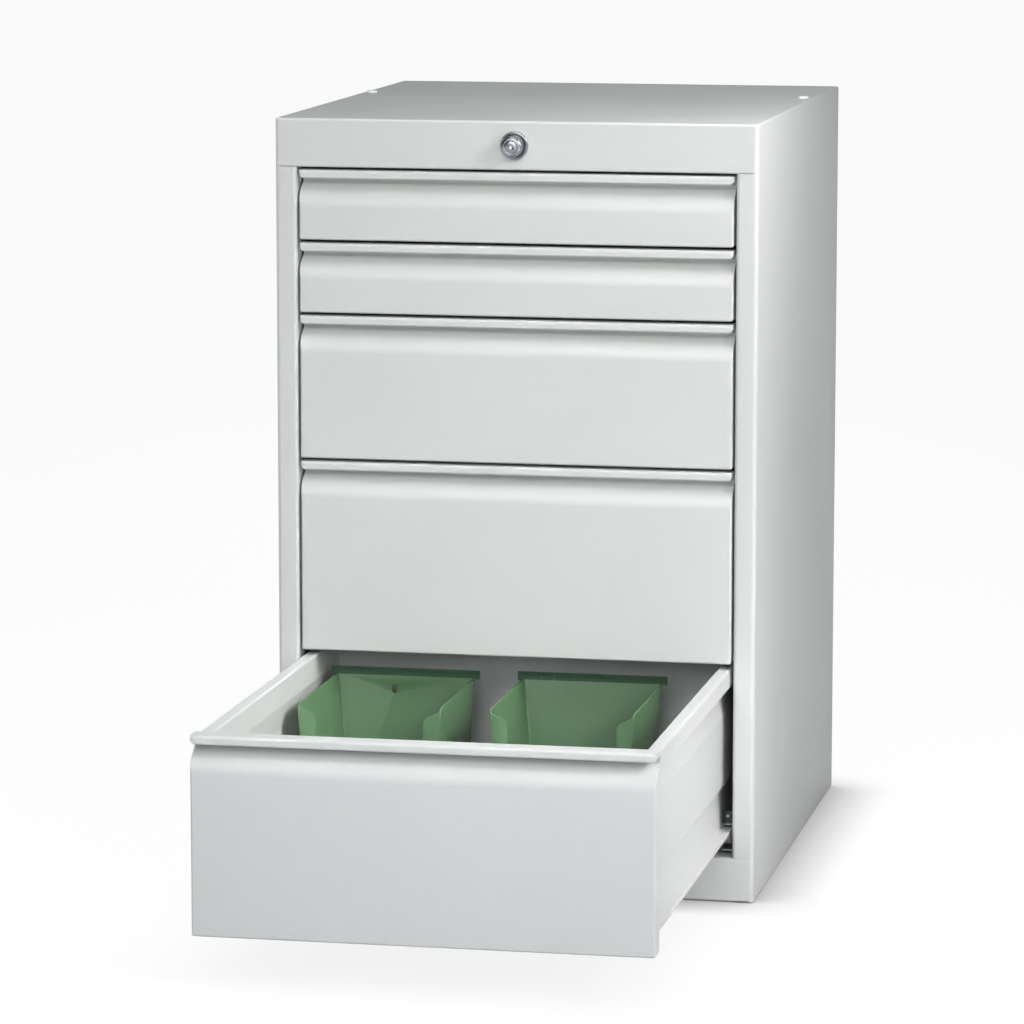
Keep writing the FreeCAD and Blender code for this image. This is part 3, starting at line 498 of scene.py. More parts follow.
# ---------------------------------------------------------------- lock
class CABINET_OT_lock(bpy.types.Operator):
    """Models the lock's collar, barrel and turning core"""
    bl_idname = "cabinet.lock"
    bl_label = "Lock"

    def execute(self, context):
        paint = context.scene.cabinet_paint
        sizes = context.scene.cabinet_sizes
        # Its dark grey partly paints the dark reflections on the lock.
        nickel = finish("nickel", plated_group(), paint.nickel, {"Grain": 0.08, "Roughness": 0.28},
                        bump=0.06, Metallic=1.0)
        # The shutter's pale steel paints the glint at the key slot.
        glint_steel = finish("shutter_steel_painted_glint", plated_group(), SHUTTER_GLINT_STEEL, {"Grain": 0.04, "Roughness": 0.2},
                        bump=0.05, Metallic=0.85)
        dress(lock_collar(sizes), "lock_collar", "cabinet", "chrome", nickel)
        dress(lock_barrel(sizes), "lock_barrel", "cabinet", "chrome", nickel)
        dress(lock_core(sizes), "lock_core", "lock", "chrome", nickel)
        shutter = key_shutter()
        shutter.data.materials.append(glint_steel)
        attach(shutter, "lock")
        return {"FINISHED"}


COLLAR_STEPS = ((2.0, 0.0), (0.25, -1.3), (0.9, 0.0), (0.1, -0.6))
COLLAR_EDGE = 1.2 * MM
BARREL_FIT = 0.03 * MM       # the barrel is this much thinner than the hole in the sheet
BARREL_POCKET = 5.0          # depth of the pocket for the core, in millimetres
POCKET_CLEARANCE = 0.1       # round the core, in millimetres, half of it the slope of the pocket's wall
CORE_FACE_STEPS = ((0.7, 0.35), (1.4, 0.25), (1.6, 0.08))
KEY_SLOT = (1.5 * MM, 8.0 * MM, 7.6 * MM)
KEY_TILT = math.radians(-60)
# Pale steel so that the shutter shows as a bright dot: a real part with a painted glint.
SHUTTER_GLINT_STEEL = (0.9, 0.9, 0.88)
SHUTTER_R = 1.5 * MM
SHUTTER_T = 0.8 * MM
SHUTTER_OUT = 0.15 * MM      # how far it stands before the core's box
SHUTTER_DROP = 0.5 * MM      # how far it sits below the core's middle
SHUTTER_STEPS = ((0.4, 0.18), (0.5, 0.1))


def turned_for_lock(name, low, high, radius, steps):
    """A part turned round Y in the middle of a box, open for editing, with steps in its front."""
    x, _, z = (low + high) / 2
    return turned(name, radius, (x, low.y, z), (x, high.y, z), "Y", (-1,), steps)


def lock_collar(sizes):
    """Flanged ring on the fascia, with a groove round the barrel."""
    low, high = corners("lock_collar")
    middle = (low + high) / 2
    radius = (high.x - low.x) / 2
    piece = turned_for_lock("lock_ring", low, high, radius, COLLAR_STEPS)
    pick("EDGE", on_rim(1, low.y, middle, radius))
    round_edges(COLLAR_EDGE, segments=5)
    end_editing(piece)
    soften(piece, sizes.small_edge / 2)
    return piece


def lock_barrel(sizes):
    """Fixed barrel with a rounded nose and a pocket for the core."""
    low, high = corners("lock_barrel")
    middle = (low + high) / 2
    radius = (high.x - low.x) / 2 - BARREL_FIT
    core_low, core_high = corners("lock_core")
    pocket = radius - (core_high.x - core_low.x) / 2
    steps = ((pocket / MM - POCKET_CLEARANCE, 0.0), (POCKET_CLEARANCE / 2, -BARREL_POCKET))
    piece = turned_for_lock("lock_body", low, high, radius, steps)
    pick("EDGE", on_rim(1, low.y, middle, radius))
    round_edges(sizes.nose, segments=8)
    end_editing(piece)
    soften(piece, sizes.small_edge / 3)
    return piece


def lock_core(sizes):
    """Turning core with a domed face and a tilted key slot."""
    low, high = corners("lock_core")
    middle = (low + high) / 2
    radius = (high.x - low.x) / 2
    rise = sum(step[1] for step in CORE_FACE_STEPS) * MM
    piece = turned_for_lock("lock_plug", low + Vector((0, rise, 0)), high, radius, CORE_FACE_STEPS)
    end_editing(piece)
    width, depth, height = KEY_SLOT
    cutter = start("key_cutter", bpy.ops.mesh.primitive_cube_add, size=1.0, rotation=(0, KEY_TILT, 0),
                   location=(middle.x, low.y + depth / 2 - OVERCUT, middle.z), scale=(width, depth, height))
    end_editing(cutter)
    combine(piece, cutter, "DIFFERENCE")
    soften(piece, sizes.small_edge / 3)
    return piece


def key_shutter():
    """Small polished dust shutter just inside the lower edge of the key slot, in pale steel that paints the
    glint there.
    """
    low, high = corners("lock_core")
    middle = (low + high) / 2
    place = Vector((middle.x, low.y - SHUTTER_OUT, middle.z - SHUTTER_DROP))
    root = place + Vector((0, SHUTTER_T, 0))
    piece = turned("key_shutter", SHUTTER_R, place, root, "Y", (-1,), SHUTTER_STEPS, vertices=32)
    end_editing(piece)
    bpy.ops.object.shade_smooth()
    return piece


# ---------------------------------------------------------------- bins
BIN_FOOT_HALF = 62.5 * MM     # half the width at the floor
BIN_HEAD_HALF = 74.5 * MM     # half the width at the top of the walls
BIN_WALLS_TOP = 144.5 * MM
BIN_SILL = 52.0 * MM
BIN_HIGH = 172.0 * MM         # length of the high part, from the back
BIN_REACH = 20.0 * MM         # the cutter rises this far over the walls, and a cheek's corners are this near
BIN_SHOULDER_R = 8.0 * MM
BIN_DIP_R = 14.0 * MM
BIN_SILL_R = 4.0 * MM
BIN_CORNER_R = 5.0 * MM
BIN_FLOOR_R = 3.5 * MM
BIN_CHEEK = 19.0 * MM         # width of a cheek, with its wall
BIN_CHEEK_DROP = 3.0 * MM     # how far its top stays below the wall's
BIN_CHEEK_FALL = 8.0 * MM     # how far its top falls towards the middle
BIN_CHEEK_R = 5.0 * MM
BIN_LIP_LAP = 1.0 * MM                    # how far the lip reaches down over the wall
BIN_LIP_SLACK = 0.5 * MM                  # its faces are looked for this far before its front
BIN_LIP_GROOVE = (1.6 * MM, 0.1 * MM, 0.7 * MM)     # margin, slope and depth
BIN_HOLE = (2.9 * MM, 3.9 * MM)           # radius, and length between its round ends
BIN_HOLE_DROP = 14.0 * MM
BIN_HOLE_OFF = 12.0 * MM


class CABINET_OT_bins(bpy.types.Operator):
    """Models the two open-front storage bins"""
    bl_idname = "cabinet.bins"
    bl_label = "Storage Bins"

    def execute(self, context):
        paint = context.scene.cabinet_paint
        sizes = context.scene.cabinet_sizes
        group = moulded_group()
        green = finish("green_plastic", group, paint.bin_green,
                       {"Scuff Colour": (0.35, 0.5, 0.36, 1.0), "Scuffs": 0.35, "Roughness": 0.42}, bump=0.2)
        # A darker green for the lip: painted shade along the back, on the same plastic.
        dark = finish("green_plastic_painted_shade", group, paint.bin_lip_shade, {"Roughness": 0.5}, bump=0.2)
        left = bin_shell(sizes)
        low, high = corners("storage_bin_left")
        other_low, other_high = corners("storage_bin_right")
        move = (other_low + other_high - low - high) / 2
        right = copied(left, "green_bin_right", Matrix.Translation(move))
        middle = (low + high) / 2
        hole = capsule("slot_cutter", BIN_HOLE[0], high.y - 3 * sizes.bin_wall, high.y + sizes.bin_wall,
                       (middle.x - BIN_HOLE_OFF, low.z + BIN_WALLS_TOP - BIN_HOLE_DROP), BIN_HOLE[1])
        combine(left, hole, "DIFFERENCE")
        for piece, side in ((left, "left"), (right, "right")):
            soften(piece, sizes.bin_edge, angle=32)
            piece.name = "green_bin_" + side
            dress(piece, "storage_bin_" + side, "storage_bin_" + side, "green_plastic", green, dark)
            back = high.y + (0 if side == "left" else move.y)
            # The lip's faces get the darker green, which is painted shade.
            paint_lip_shade(piece, low.z + BIN_WALLS_TOP - BIN_LIP_LAP, back - sizes.bin_wall - BIN_LIP_SLACK)
        return {"FINISHED"}


def lean_sides(middle, levels, foot_half, head_half, start_half):
    """Draws the sides in at each level, so that they lean in a straight line from the foot to the head."""
    for level in levels:
        share = (level - levels[0]) / (levels[-1] - levels[0])
        wanted = foot_half + (head_half - foot_half) * share
        pick("VERT", lambda vertex: near(vertex.co.z, level))
        bpy.ops.transform.resize(value=(wanted / start_half, 1, 1), center_override=(middle, 0, 0))


def bin_shell(sizes):
    """The left bin: drafted walls, a low sill, cheeks beside the mouth and a grooved lip along the back."""
    low, high = corners("storage_bin_left")
    wall = sizes.bin_wall
    middle = (low.x + high.x) / 2
    back, front, floor = high.y, low.y, low.z
    top, sill = floor + BIN_WALLS_TOP, floor + BIN_SILL
    step = back - BIN_HIGH
    shell = start_block("green_bin_left", (middle - BIN_HEAD_HALF, front, floor),
                        (middle + BIN_HEAD_HALF, back, sill))
    bpy.ops.mesh.select_all(action="SELECT")
    bpy.ops.mesh.bisect(plane_co=(0, step, 0), plane_no=(0, 1, 0))
    pick("FACE", lambda face: face.normal.z > SQUARE and face.calc_center_median().y > step)
    bpy.ops.mesh.extrude_region_move(TRANSFORM_OT_translate={"value": (0, 0, top - sill)})
    lean_sides(middle, (floor, sill, top), BIN_FOOT_HALF, BIN_HEAD_HALF, BIN_HEAD_HALF)
    for place, level, radius in ((step, top, BIN_SHOULDER_R), (step, sill, BIN_DIP_R),
                                 (front, sill, BIN_SILL_R)):
        pick("EDGE", edge_along(0, y=place, z=level))
        round_edges(radius, segments=8)
    for place in (back, front):
        pick("EDGE", edge_along(2, y=place))
        round_edges(BIN_CORNER_R, segments=5)
    pick("EDGE", edge_at(2, floor))
    round_edges(BIN_FLOOR_R)
    end_editing(shell)
    over = top + BIN_REACH
    lean = (BIN_HEAD_HALF - BIN_FOOT_HALF) / BIN_WALLS_TOP
    room_foot = BIN_FOOT_HALF + lean * wall - wall
    room_head = BIN_HEAD_HALF + lean * (over - top) - wall
    room = start_block("bin_room", (middle - room_head, front + wall, floor + wall),
                       (middle + room_head, back - wall, over))
    lean_sides(middle, (floor + wall, over), room_foot, room_head, room_head)
    pick("EDGE", edge_along(2))
    round_edges(BIN_CORNER_R - wall)
    pick("EDGE", edge_at(2, floor + wall))
    round_edges(BIN_FLOOR_R)
    end_editing(room)
    combine(shell, room, "DIFFERENCE")
    for sign in (-1, 1):
        combine(shell, bin_cheek(middle, sign, step, floor, top, wall), "UNION")
    combine(shell, bin_lip(low, high, wall, top), "UNION")
    return shell


def bin_cheek(middle, sign, step, floor, top, wall):
    """Upright cheek beside the mouth, with its top falling towards the middle."""
    outer = middle + sign * (BIN_HEAD_HALF - wall / 2)
    inner = middle + sign * (BIN_HEAD_HALF - BIN_CHEEK)
    low_x, high_x = sorted((outer, inner))
    cheek_top = top - BIN_CHEEK_DROP
    cheek = start_block("bin_cheek", (low_x, step, floor + wall / 2), (high_x, step + wall, cheek_top))
    pick("VERT", lambda vertex: near(vertex.co.x, inner) and near(vertex.co.z, cheek_top))
    bpy.ops.transform.translate(value=(0, 0, -BIN_CHEEK_FALL))
    pick("VERT", lambda vertex: near(vertex.co.x, outer) and vertex.co.z < floor + wall)
    bpy.ops.transform.translate(value=(-sign * (BIN_HEAD_HALF - BIN_FOOT_HALF), 0, 0))
    pick("EDGE", lambda edge: all(near(vertex.co.x, inner) and vertex.co.z > top - BIN_REACH
                                  for vertex in edge.verts))
    round_edges(BIN_CHEEK_R, segments=5)
    return end_editing(cheek)


def bin_lip(low, high, wall, top):
    """Lip along the back, with a shallow groove in its front face."""
    lip = start_block("bin_lip", (low.x, high.y - wall, top - BIN_LIP_LAP), (high.x, high.y, high.z))
    groove(1, *BIN_LIP_GROOVE)
    return end_editing(lip)


def paint_lip_shade(piece, lip_foot, lip_front):
    """Gives the faces of the lip the second, darker green material, which paints the shade along the lip."""
    for polygon in piece.data.polygons:
        if polygon.center.z > lip_foot and polygon.center.y > lip_front:
            polygon.material_index = 1


# ---------------------------------------------------------------- rollers
class CABINET_OT_rollers(bpy.types.Operator):
    """Models the rollers with their rims, webs and hubs, and copies them to every runner"""
    bl_idname = "cabinet.rollers"
    bl_label = "Rollers"

    def execute(self, context):
        sizes = context.scene.cabinet_sizes
        white = finish("roller_plastic", moulded_group(), ROLLER_WHITE,
                       {"Scuff Colour": (0.3, 0.3, 0.3, 1.0), "Scuffs": 0.5, "Roughness": 0.38}, bump=0.15)
        for kind, steps in ROLLER_STEPS.items():
            pattern = None
            for number in DRAWERS:
                node = "%s_%d" % (kind, number)
                pair = []
                for side, (low, high) in zip(("left", "right"), solids_in(node)):
                    middle = (low + high) / 2
                    if pattern is None:
                        pattern = roller(kind, (high.z - low.z) / 2, high.x - low.x, steps, sizes)
                    pair.append(copied(pattern, node + "_" + side, Matrix.Translation(middle)))
                piece = joined(pair, node + "_wheels")
                dress(piece, node, node, "white_plastic", white)
            bpy.data.objects.remove(pattern)
        return {"FINISHED"}


ROLLER_WHITE = (0.62, 0.63, 0.62)
ROLLER_STEPS = {
    "front_rollers": ((1.5, 0.0), (0.3, -1.3), (1.9, 0.0), (0.3, 1.3), (1.9, 0.0)),
    "rear_rollers": ((2.2, 0.0), (0.3, -1.6), (4.2, 0.0), (0.3, 1.6), (2.4, 0.0)),
}


def roller(kind, radius, width, steps, sizes):
    """A roller round the X axis with its middle at the origin."""
    piece = turned(kind, radius, (-width / 2, 0, 0), (width / 2, 0, 0), "X", (-1, 1), steps, bore=True,
                   vertices=64)
    end_editing(piece)
    soften(piece, sizes.small_edge, angle=35)
    return piece


# ---------------------------------------------------------------- small fittings
class CABINET_OT_fittings(bpy.types.Operator):
    """Models the guide shoes with their rivets, the rail screws, the plugs in the top and the floor glides"""
    bl_idname = "cabinet.fittings"
    bl_label = "Small Fittings"

    def execute(self, context):
        paint = context.scene.cabinet_paint
        sizes = context.scene.cabinet_sizes
        group = moulded_group()
        zinc = finish("screw_zinc", plated_group(), paint.zinc, {"Roughness": 0.3}, bump=0.08, Metallic=0.95)
        # The rivets' pale steel paints a glint on the shoes.
        glint_steel = finish("rivet_steel_painted_glint", plated_group(), RIVET_GLINT_STEEL, {"Roughness": 0.25}, bump=0.05,
                        Metallic=0.9)
        # Near-black shoes: painted shade in the gap beside the drawers.
        grey = finish("shoe_plastic_painted_shade", group, paint.shoe_shade_grey,
                      {"Scuff Colour": (0.3, 0.32, 0.35, 1.0), "Scuffs": 0.4, "Roughness": 0.4}, bump=0.2)
        white = finish("plug_plastic", group, PLUG_WHITE, {"Cloud": 0.03, "Scuffs": 0.0, "Roughness": 0.3},
                       bump=0.05)
        black = finish("glide_plastic", group, GLIDE_BLACK, {"Scuff Colour": (0.2, 0.2, 0.2, 1.0)}, bump=0.15)
        dress(guide_shoes(sizes), "guide_shoes", "cabinet", "white_plastic", grey)
        rivets = shoe_rivets()
        rivets.data.materials.append(glint_steel)
        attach(rivets, "cabinet")
        dress(rail_screws(sizes), "rail_screws", "cabinet", "zinc_steel", zinc)
        dress(top_plugs(sizes), "top_plugs", "cabinet", "white_plastic", white)
        dress(floor_glides(sizes), "floor_glides", "cabinet", "black_plastic", black)
        return {"FINISHED"}


MIRROR_X = Matrix.Scale(-1, 4, (1, 0, 0))


def copies_on_both_sides(pattern, node, name):
    """Copies a pattern of the right side, made about the origin, to each solid of a CAD node."""
    copies = []
    for number, (low, high) in enumerate(solids_in(node)):
        middle = (low + high) / 2
        move = Matrix.Translation(middle)
        if middle.x < 0:
            move = move @ MIRROR_X
        copies.append(copied(pattern, "%s_%d" % (name, number), move))
    bpy.data.objects.remove(pattern)
    return joined(copies, name)


def solid_size(node):
    """The size of one of a CAD node's like solids."""
    low, high = solids_in(node)[-1]
    return high - low


SHOE_NOSE_R = 4.0 * MM
SHOE_GROOVE = (2.2 * MM, 0.3 * MM, 1.2 * MM)        # margin, slope and depth
# Pale steel for the rivets, which paints the glint on the shoes.
RIVET_GLINT_STEEL = (0.8, 0.82, 0.84)
RIVET_R = 1.5 * MM
RIVET_STEPS = ((0.35, 0.3), (0.5, 0.22))
RIVET_DEPTHS = (-0.5 * MM, 0.3 * MM)    # from before to inside the shoe's front
RIVET_IN = 2.8 * MM                     # from the shoe's inner side
RIVET_UP = 8.0 * MM                     # from the shoe's foot


def guide_shoes(sizes):
    """Plastic shoes with a rounded lead-in and a hollowed outer face, coloured near-black as painted shade in
    the runners' gap.
    """
    half = solid_size("guide_shoes") / 2
    shoe = start_block("guide_shoe", -half, half)
    pick("EDGE", edge_along(0, y=-half.y, z=half.z))
    round_edges(SHOE_NOSE_R, segments=6)
    groove(0, *SHOE_GROOVE)
    end_editing(shoe)
    soften(shoe, sizes.small_edge, angle=35)
    return copies_on_both_sides(shoe, "guide_shoes", "runner_shoes")


def shoe_rivets():
    """Bright rivet heads on the front faces of the shoes, in pale steel that paints a glint there."""
    head, root = RIVET_DEPTHS
    rivet = turned("shoe_rivet", RIVET_R, (0, head, 0), (0, root, 0), "Y", (-1,), RIVET_STEPS, vertices=24)
    end_editing(rivet)
    bpy.ops.object.shade_smooth_by_angle(angle=math.radians(60))
    copies = []
    for number, (low, high) in enumerate(solids_in("guide_shoes")):
        inner = min(abs(low.x), abs(high.x)) + RIVET_IN
        place = Vector((math.copysign(inner, low.x), low.y, low.z + RIVET_UP))
        copies.append(copied(rivet, "shoe_rivet_%d" % number, Matrix.Translation(place)))
    bpy.data.objects.remove(rivet)
    return joined(copies, "shoe_rivets")


SCREW_HEAD_T = 1.4 * MM
SCREW_HEAD_ROUND = 0.8 * MM
SCREW_SHANK_R = 1.95 * MM
CROSS = (0.8 * MM, 3.4 * MM, 0.8 * MM)  # width, length and depth of the cross recess


def rail_screws(sizes):
    """Pan-head screws with a cross recess, heads towards the drawers."""
    half = solid_size("rail_screws") / 2
    seat = -half.x + SCREW_HEAD_T
    screw = start_disc("rail_screw", half.z, (-half.x, 0, 0), (seat, 0, 0), "X", vertices=32)
    pick("EDGE", on_rim(0, -half.x, Vector((0, 0, 0)), half.z))
    round_edges(SCREW_HEAD_ROUND)
    pick("FACE", facing(0, 1))
    inset(half.z - SCREW_SHANK_R)
    bpy.ops.mesh.extrude_region_move(TRANSFORM_OT_translate={"value": (half.x - seat, 0, 0)})
    end_editing(screw)
    width, length, depth = CROSS
    for y, z in ((width / 2, length / 2), (length / 2, width / 2)):
        cutter = start_block("cross_cutter", (-half.x - OVERCUT, -y, -z), (-half.x + depth, y, z))
        end_editing(cutter)
        combine(screw, cutter, "DIFFERENCE")
    soften(screw, sizes.small_edge / 4, segments=1, angle=35)
    return copies_on_both_sides(screw, "rail_screws", "runner_screws")


PLUG_WHITE = (0.9, 0.9, 0.89)
PLUG_STEPS = ((0.7, 0.45), (1.3, 0.25), (1.6, 0.1))
PLUG_SHANK_R = 2.95 * MM
PLUG_SHANK = 5.0 * MM


def top_plugs(sizes):
    """Domed snap-in plugs with their shanks."""
    half = solid_size("top_plugs") / 2
    seat = -half.z + PLUG_SHANK
    rise = sum(step[1] for step in PLUG_STEPS) * MM
    plug = turned("cap_plug", half.x, (0, 0, seat), (0, 0, half.z - rise), "Z", (1,), PLUG_STEPS, vertices=64)
    pick("FACE", facing(2, -1))
    inset(half.x - PLUG_SHANK_R)
    bpy.ops.mesh.extrude_region_move(TRANSFORM_OT_translate={"value": (0, 0, -PLUG_SHANK)})
    end_editing(plug)
    soften(plug, sizes.small_edge, angle=20)
    return copies_on_both_sides(plug, "top_plugs", "cap_plugs")


GLIDE_BLACK = (0.02, 0.02, 0.022)
GLIDE_RIM = 0.6 * MM


def floor_glides(sizes):
    """Flat round glides, domed a little on their rims."""
    half = solid_size("floor_glides") / 2
    glide = start_disc("glide", half.x, (0, 0, -half.z), (0, 0, half.z), "Z", vertices=64)
    pick("EDGE", on_rim(2, -half.z, Vector((0, 0, 0)), half.x))
    round_edges(GLIDE_RIM, segments=3)
    end_editing(glide)
    soften(glide, sizes.small_edge / 2)
    return copies_on_both_sides(glide, "floor_glides", "glide_discs")


# ---------------------------------------------------------------- finishes of the CAD nodes
GUIDE_BLACK = (0.02, 0.02, 0.02)


def paint_nodes(names, material):
    """Gives CAD nodes one material all over."""
    for name in names:
        NODES[name].data.materials.clear()
        NODES[name].data.materials.append(material)


class CABINET_OT_sheet_metal(bpy.types.Operator):
    """Paints the powder-coated sheets of the body and the drawers"""
    bl_idname = "cabinet.sheet_metal"
    bl_label = "Sheet Metal"

    def execute(self, context):
        paint = context.scene.cabinet_paint
        coat = finish("powder_coat", powder_coat_group(), paint.coat, {}, bump=0.25, bump_depth=0.2 * MM,
                      Specular_IOR_Level=0.45)
        names = ["side_panel_left", "side_panel_right", "top_panel", "back_panel", "base_panel"]
        names += ["%s_%d" % (kind, number) for kind in ("drawer_front", "drawer_tray") for number in DRAWERS]
        paint_nodes(names, coat)
        return {"FINISHED"}


class CABINET_OT_plated_steel(bpy.types.Operator):
    """Gives the runners, posts and lock gear their plating"""
    bl_idname = "cabinet.plated_steel"
    bl_label = "Plated Steel"

    def execute(self, context):
        paint = context.scene.cabinet_paint
        zinc = finish("zinc_plate", plated_group(), paint.zinc, {}, bump=0.1, Metallic=0.9)
        names = ["front_post_left", "front_post_right", "rear_post_left", "rear_post_right", "lock_nut",
                 "rod_bracket", "drive_rod", "locking_bar"]
        names += ["%s_%d" % (kind, number) for kind in ("cabinet_rails", "drawer_catch")
                  for number in DRAWERS]
        paint_nodes(names, zinc)
        black = finish("guide_plastic", moulded_group(), GUIDE_BLACK, {}, bump=0.15)
        paint_nodes(["bar_guides"], black)
        return {"FINISHED"}


# ---------------------------------------------------------------- stage
class CABINET_OT_stage(bpy.types.Operator):
    """Adds the floor, the lights and the camera"""
    bl_idname = "cabinet.stage"
    bl_label = "Stage"

    def execute(self, context):
        settings = context.scene.cabinet_stage
        bpy.ops.object.select_all(action="DESELECT")
        bpy.ops.mesh.primitive_plane_add(size=FLOOR_SIZE, location=(0, 0, 0))
        floor = context.object
        floor.name = "floor"
        floor.data.materials.append(floor_material())
        add_lamps(settings)
        add_camera(settings)
        world_light(settings)
        context.scene.view_settings.view_transform = "Standard"
        return {"FINISHED"}


FLOOR_SIZE = 40.0
FLOOR_COLOUR = (0.45, 0.45, 0.45, 1.0)
FLOOR_SEEN = (0.08, 0.08, 0.08, 1.0)    # its colour where the camera sees it, for a faint cast shadow
FLOOR_LIFT = 0.945              # what the open floor sends to the camera
CONTACT_REACH = 0.075           # how far from a foot the contact shadow reaches
DRAWER_REACH = 0.15             # the same in front of the body, under the open drawer
SHADE_FRONT = (-0.36, -0.28)    # between these depths the shadow changes from the drawer's to the body's
SHADE_UNDER_DRAWER = 0.09       # how much of the contact shadow shows in front of the body
SHADE_SAMPLES = 32


def floor_material():
    """White to the camera and in gloss, darker close to the cabinet, and plain and pale to other light."""
    material = bpy.data.materials.new("floor_white")
    material.use_nodes = True
    tree = material.node_tree
    shader = tree.nodes["Principled BSDF"]
    shader.inputs["Roughness"].default_value = 0.9
    shader.inputs["Specular IOR Level"].default_value = 0.0
    path = new_node(tree, "ShaderNodeLightPath")
    seen = math_node(tree, "MAXIMUM", path.outputs["Is Camera Ray"], path.outputs["Is Glossy Ray"])
    tree.links.new(blended(tree, seen, FLOOR_COLOUR, FLOOR_SEEN), shader.inputs["Base Color"])
    place = new_node(tree, "ShaderNodeTexCoord")
    axes = new_node(tree, "ShaderNodeSeparateXYZ")
    tree.links.new(place.outputs["Object"], axes.inputs["Vector"])
    depth = ramp(tree, axes.outputs["Y"], *SHADE_FRONT, SHADE_UNDER_DRAWER, 1.0)
    open_air = new_node(tree, "ShaderNodeAmbientOcclusion")
    reach = ramp(tree, axes.outputs["Y"], *SHADE_FRONT, DRAWER_REACH, CONTACT_REACH)
    tree.links.new(reach, open_air.inputs["Distance"])
    open_air.samples = SHADE_SAMPLES
    shade = math_node(tree, "MULTIPLY", math_node(tree, "SUBTRACT", 1.0, open_air.outputs["AO"]), depth)
    lift = math_node(tree, "MULTIPLY", seen, math_node(tree, "SUBTRACT", FLOOR_LIFT, shade))
    shader.inputs["Emission Color"].default_value = (1.0, 1.0, 1.0, 1.0)
    tree.links.new(lift, shader.inputs["Emission Strength"])
    return material


# name, place, aim, width and height, spread in degrees, share of the lamps' power, colour
LAMPS = (
    ("front_lamp", (0.1, -4.2, 1.9), (0, 0, 0.4), (2.4, 2.0), 180, 1.0, (0.9, 0.98, 1.0)),
    ("key_lamp", (2.6, -2.2, 2.0), (0, -0.2, 0.4), (1.0, 1.0), 180, 0.34, (1.0, 1.0, 1.0)),
    ("top_lamp", (0.2, -0.6, 3.2), (0, 0, 0.5), (2.0, 2.0), 180, 0.44, (1.0, 1.0, 1.0)),
    ("upper_lamp", (0.1, -2.6, 1.6), (0, -0.3, 0.74), (0.9, 0.5), 49, 0.0145, (1.0, 0.88, 0.76)),
    ("corner_lamp", (0.65, -0.35, 1.05), (0.25, -0.3, 0.7), (0.2, 0.4), 180, 0.04, (1.0, 1.0, 1.0)),
    ("low_lamp", (0.9, -1.5, 0.5), (0.25, -0.3, 0.3), (0.4, 0.8), 180, 0.048, (1.0, 1.0, 1.0)),
    ("drawer_lamp", (2.02, -1.47, 1.96), (-0.22, -0.52, 0.2), (0.66, 0.66), 18.8, 0.0185, (1.0, 0.99, 0.99)),
    ("foot_lamp", (0.7, -0.78, 0.3), (0.22, -0.35, 0.12), (0.2, 0.3), 60, 0.0027, (1.0, 1.0, 1.0)),
)
FILL_LAMPS = (
    ("left_lamp", (-3.2, 0.4, 0.42), (-0.25, 0.1, 0.4), (1.2, 0.7), 60, 0.085, (1.0, 0.99, 0.98)),
    ("back_lamp", (-0.7, 3.4, 0.42), (0, 0.3, 0.4), (1.2, 0.7), 60, 0.095, (1.0, 0.99, 0.98)),
)


def area_light(name, place, aim, size, spread, power, colour):
    """A rectangular lamp that the camera doesn't see, turned towards its aim."""
    bpy.ops.object.light_add(type="AREA", location=place)
    light = bpy.context.object
    light.name = name
    light.data.shape = "RECTANGLE"
    light.data.size, light.data.size_y = size
    light.data.spread = math.radians(spread)
    light.data.energy = power
    light.data.color = colour
    light.visible_camera = False
    direction = Vector(aim) - Vector(place)
    light.rotation_euler = direction.to_track_quat("-Z", "Y").to_euler()


def add_lamps(settings):
    """All the lamps. The fill lamps, low on the left and behind, show in no gloss."""
    for name, place, aim, size, spread, share, colour in LAMPS + FILL_LAMPS:
        area_light(name, place, aim, size, spread, share * settings.lamps, colour)
    for name, *_ in FILL_LAMPS:
        bpy.data.objects[name].visible_glossy = False


CAMERA_PLACE = (0.9769, -5.1586, 1.1594)
CAMERA_TURN = math.radians(11.397)
CAMERA_TILT = math.radians(8.716)
SENSOR_WIDTH = 36.0


def add_camera(settings):
    """The camera looks a little down on the cabinet, from the right of its front."""
    bpy.ops.object.camera_add(location=CAMERA_PLACE)
    camera = bpy.context.object
    camera.rotation_euler = (math.radians(90) - CAMERA_TILT, 0, CAMERA_TURN)
    camera.data.sensor_width = SENSOR_WIDTH
    camera.data.lens = settings.lens
    bpy.context.scene.camera = camera


ROOM_COLOUR = (0.78, 0.87, 1.0, 1.0)


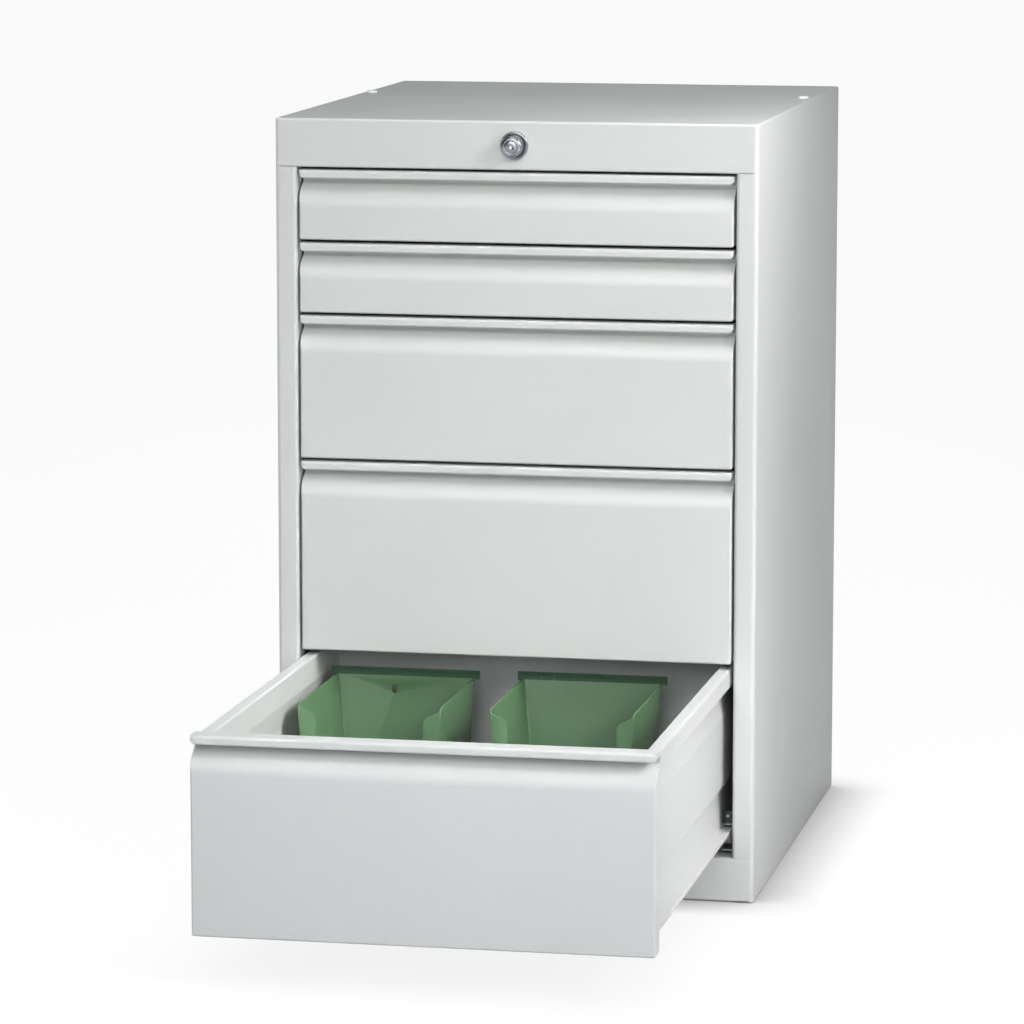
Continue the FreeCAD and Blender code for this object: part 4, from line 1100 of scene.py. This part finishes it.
def world_light(settings):
    """Even room light, and white to the camera and through glass."""
    world = bpy.data.worlds.new("room")
    bpy.context.scene.world = world
    world.use_nodes = True
    tree = world.node_tree
    background = tree.nodes["Background"]
    path = new_node(tree, "ShaderNodeLightPath")
    seen = math_node(tree, "MAXIMUM", path.outputs["Is Camera Ray"], path.outputs["Is Transmission Ray"])
    tree.links.new(blended(tree, seen, ROOM_COLOUR, (1.0, 1.0, 1.0, 1.0)), background.inputs["Color"])
    tree.links.new(ramp(tree, seen, 0.0, 1.0, settings.sky, 1.0), background.inputs["Strength"])


class CABINET_PT_pieces(bpy.types.Panel):
    """Lists the steps that model and dress the cabinet"""
    bl_idname = "CABINET_PT_pieces"
    bl_label = "Drawer Cabinet"
    bl_space_type = "VIEW_3D"
    bl_region_type = "UI"
    bl_category = "Cabinet"

    def draw(self, context):
        for operator in OPERATORS:
            self.layout.operator(operator.bl_idname)


SETTINGS = (CabinetPaintSettings, CabinetSizeSettings, CabinetStageSettings)
OPERATORS = (CABINET_OT_sheet_metal, CABINET_OT_plated_steel, CABINET_OT_lock, CABINET_OT_bins,
             CABINET_OT_rollers, CABINET_OT_fittings, CABINET_OT_stage)


def register():
    for made in SETTINGS + OPERATORS + (CABINET_PT_pieces,):
        bpy.utils.register_class(made)
    bpy.types.Scene.cabinet_paint = PointerProperty(type=CabinetPaintSettings)
    bpy.types.Scene.cabinet_sizes = PointerProperty(type=CabinetSizeSettings)
    bpy.types.Scene.cabinet_stage = PointerProperty(type=CabinetStageSettings)


def unregister():
    del bpy.types.Scene.cabinet_stage
    del bpy.types.Scene.cabinet_sizes
    del bpy.types.Scene.cabinet_paint
    for made in reversed(SETTINGS + OPERATORS + (CABINET_PT_pieces,)):
        bpy.utils.unregister_class(made)


def main():
    register()
    bpy.ops.cabinet.sheet_metal()
    bpy.ops.cabinet.plated_steel()
    bpy.ops.cabinet.lock()
    bpy.ops.cabinet.bins()
    bpy.ops.cabinet.rollers()
    bpy.ops.cabinet.fittings()
    bpy.ops.cabinet.stage()


if __name__ == "__main__":
    main()
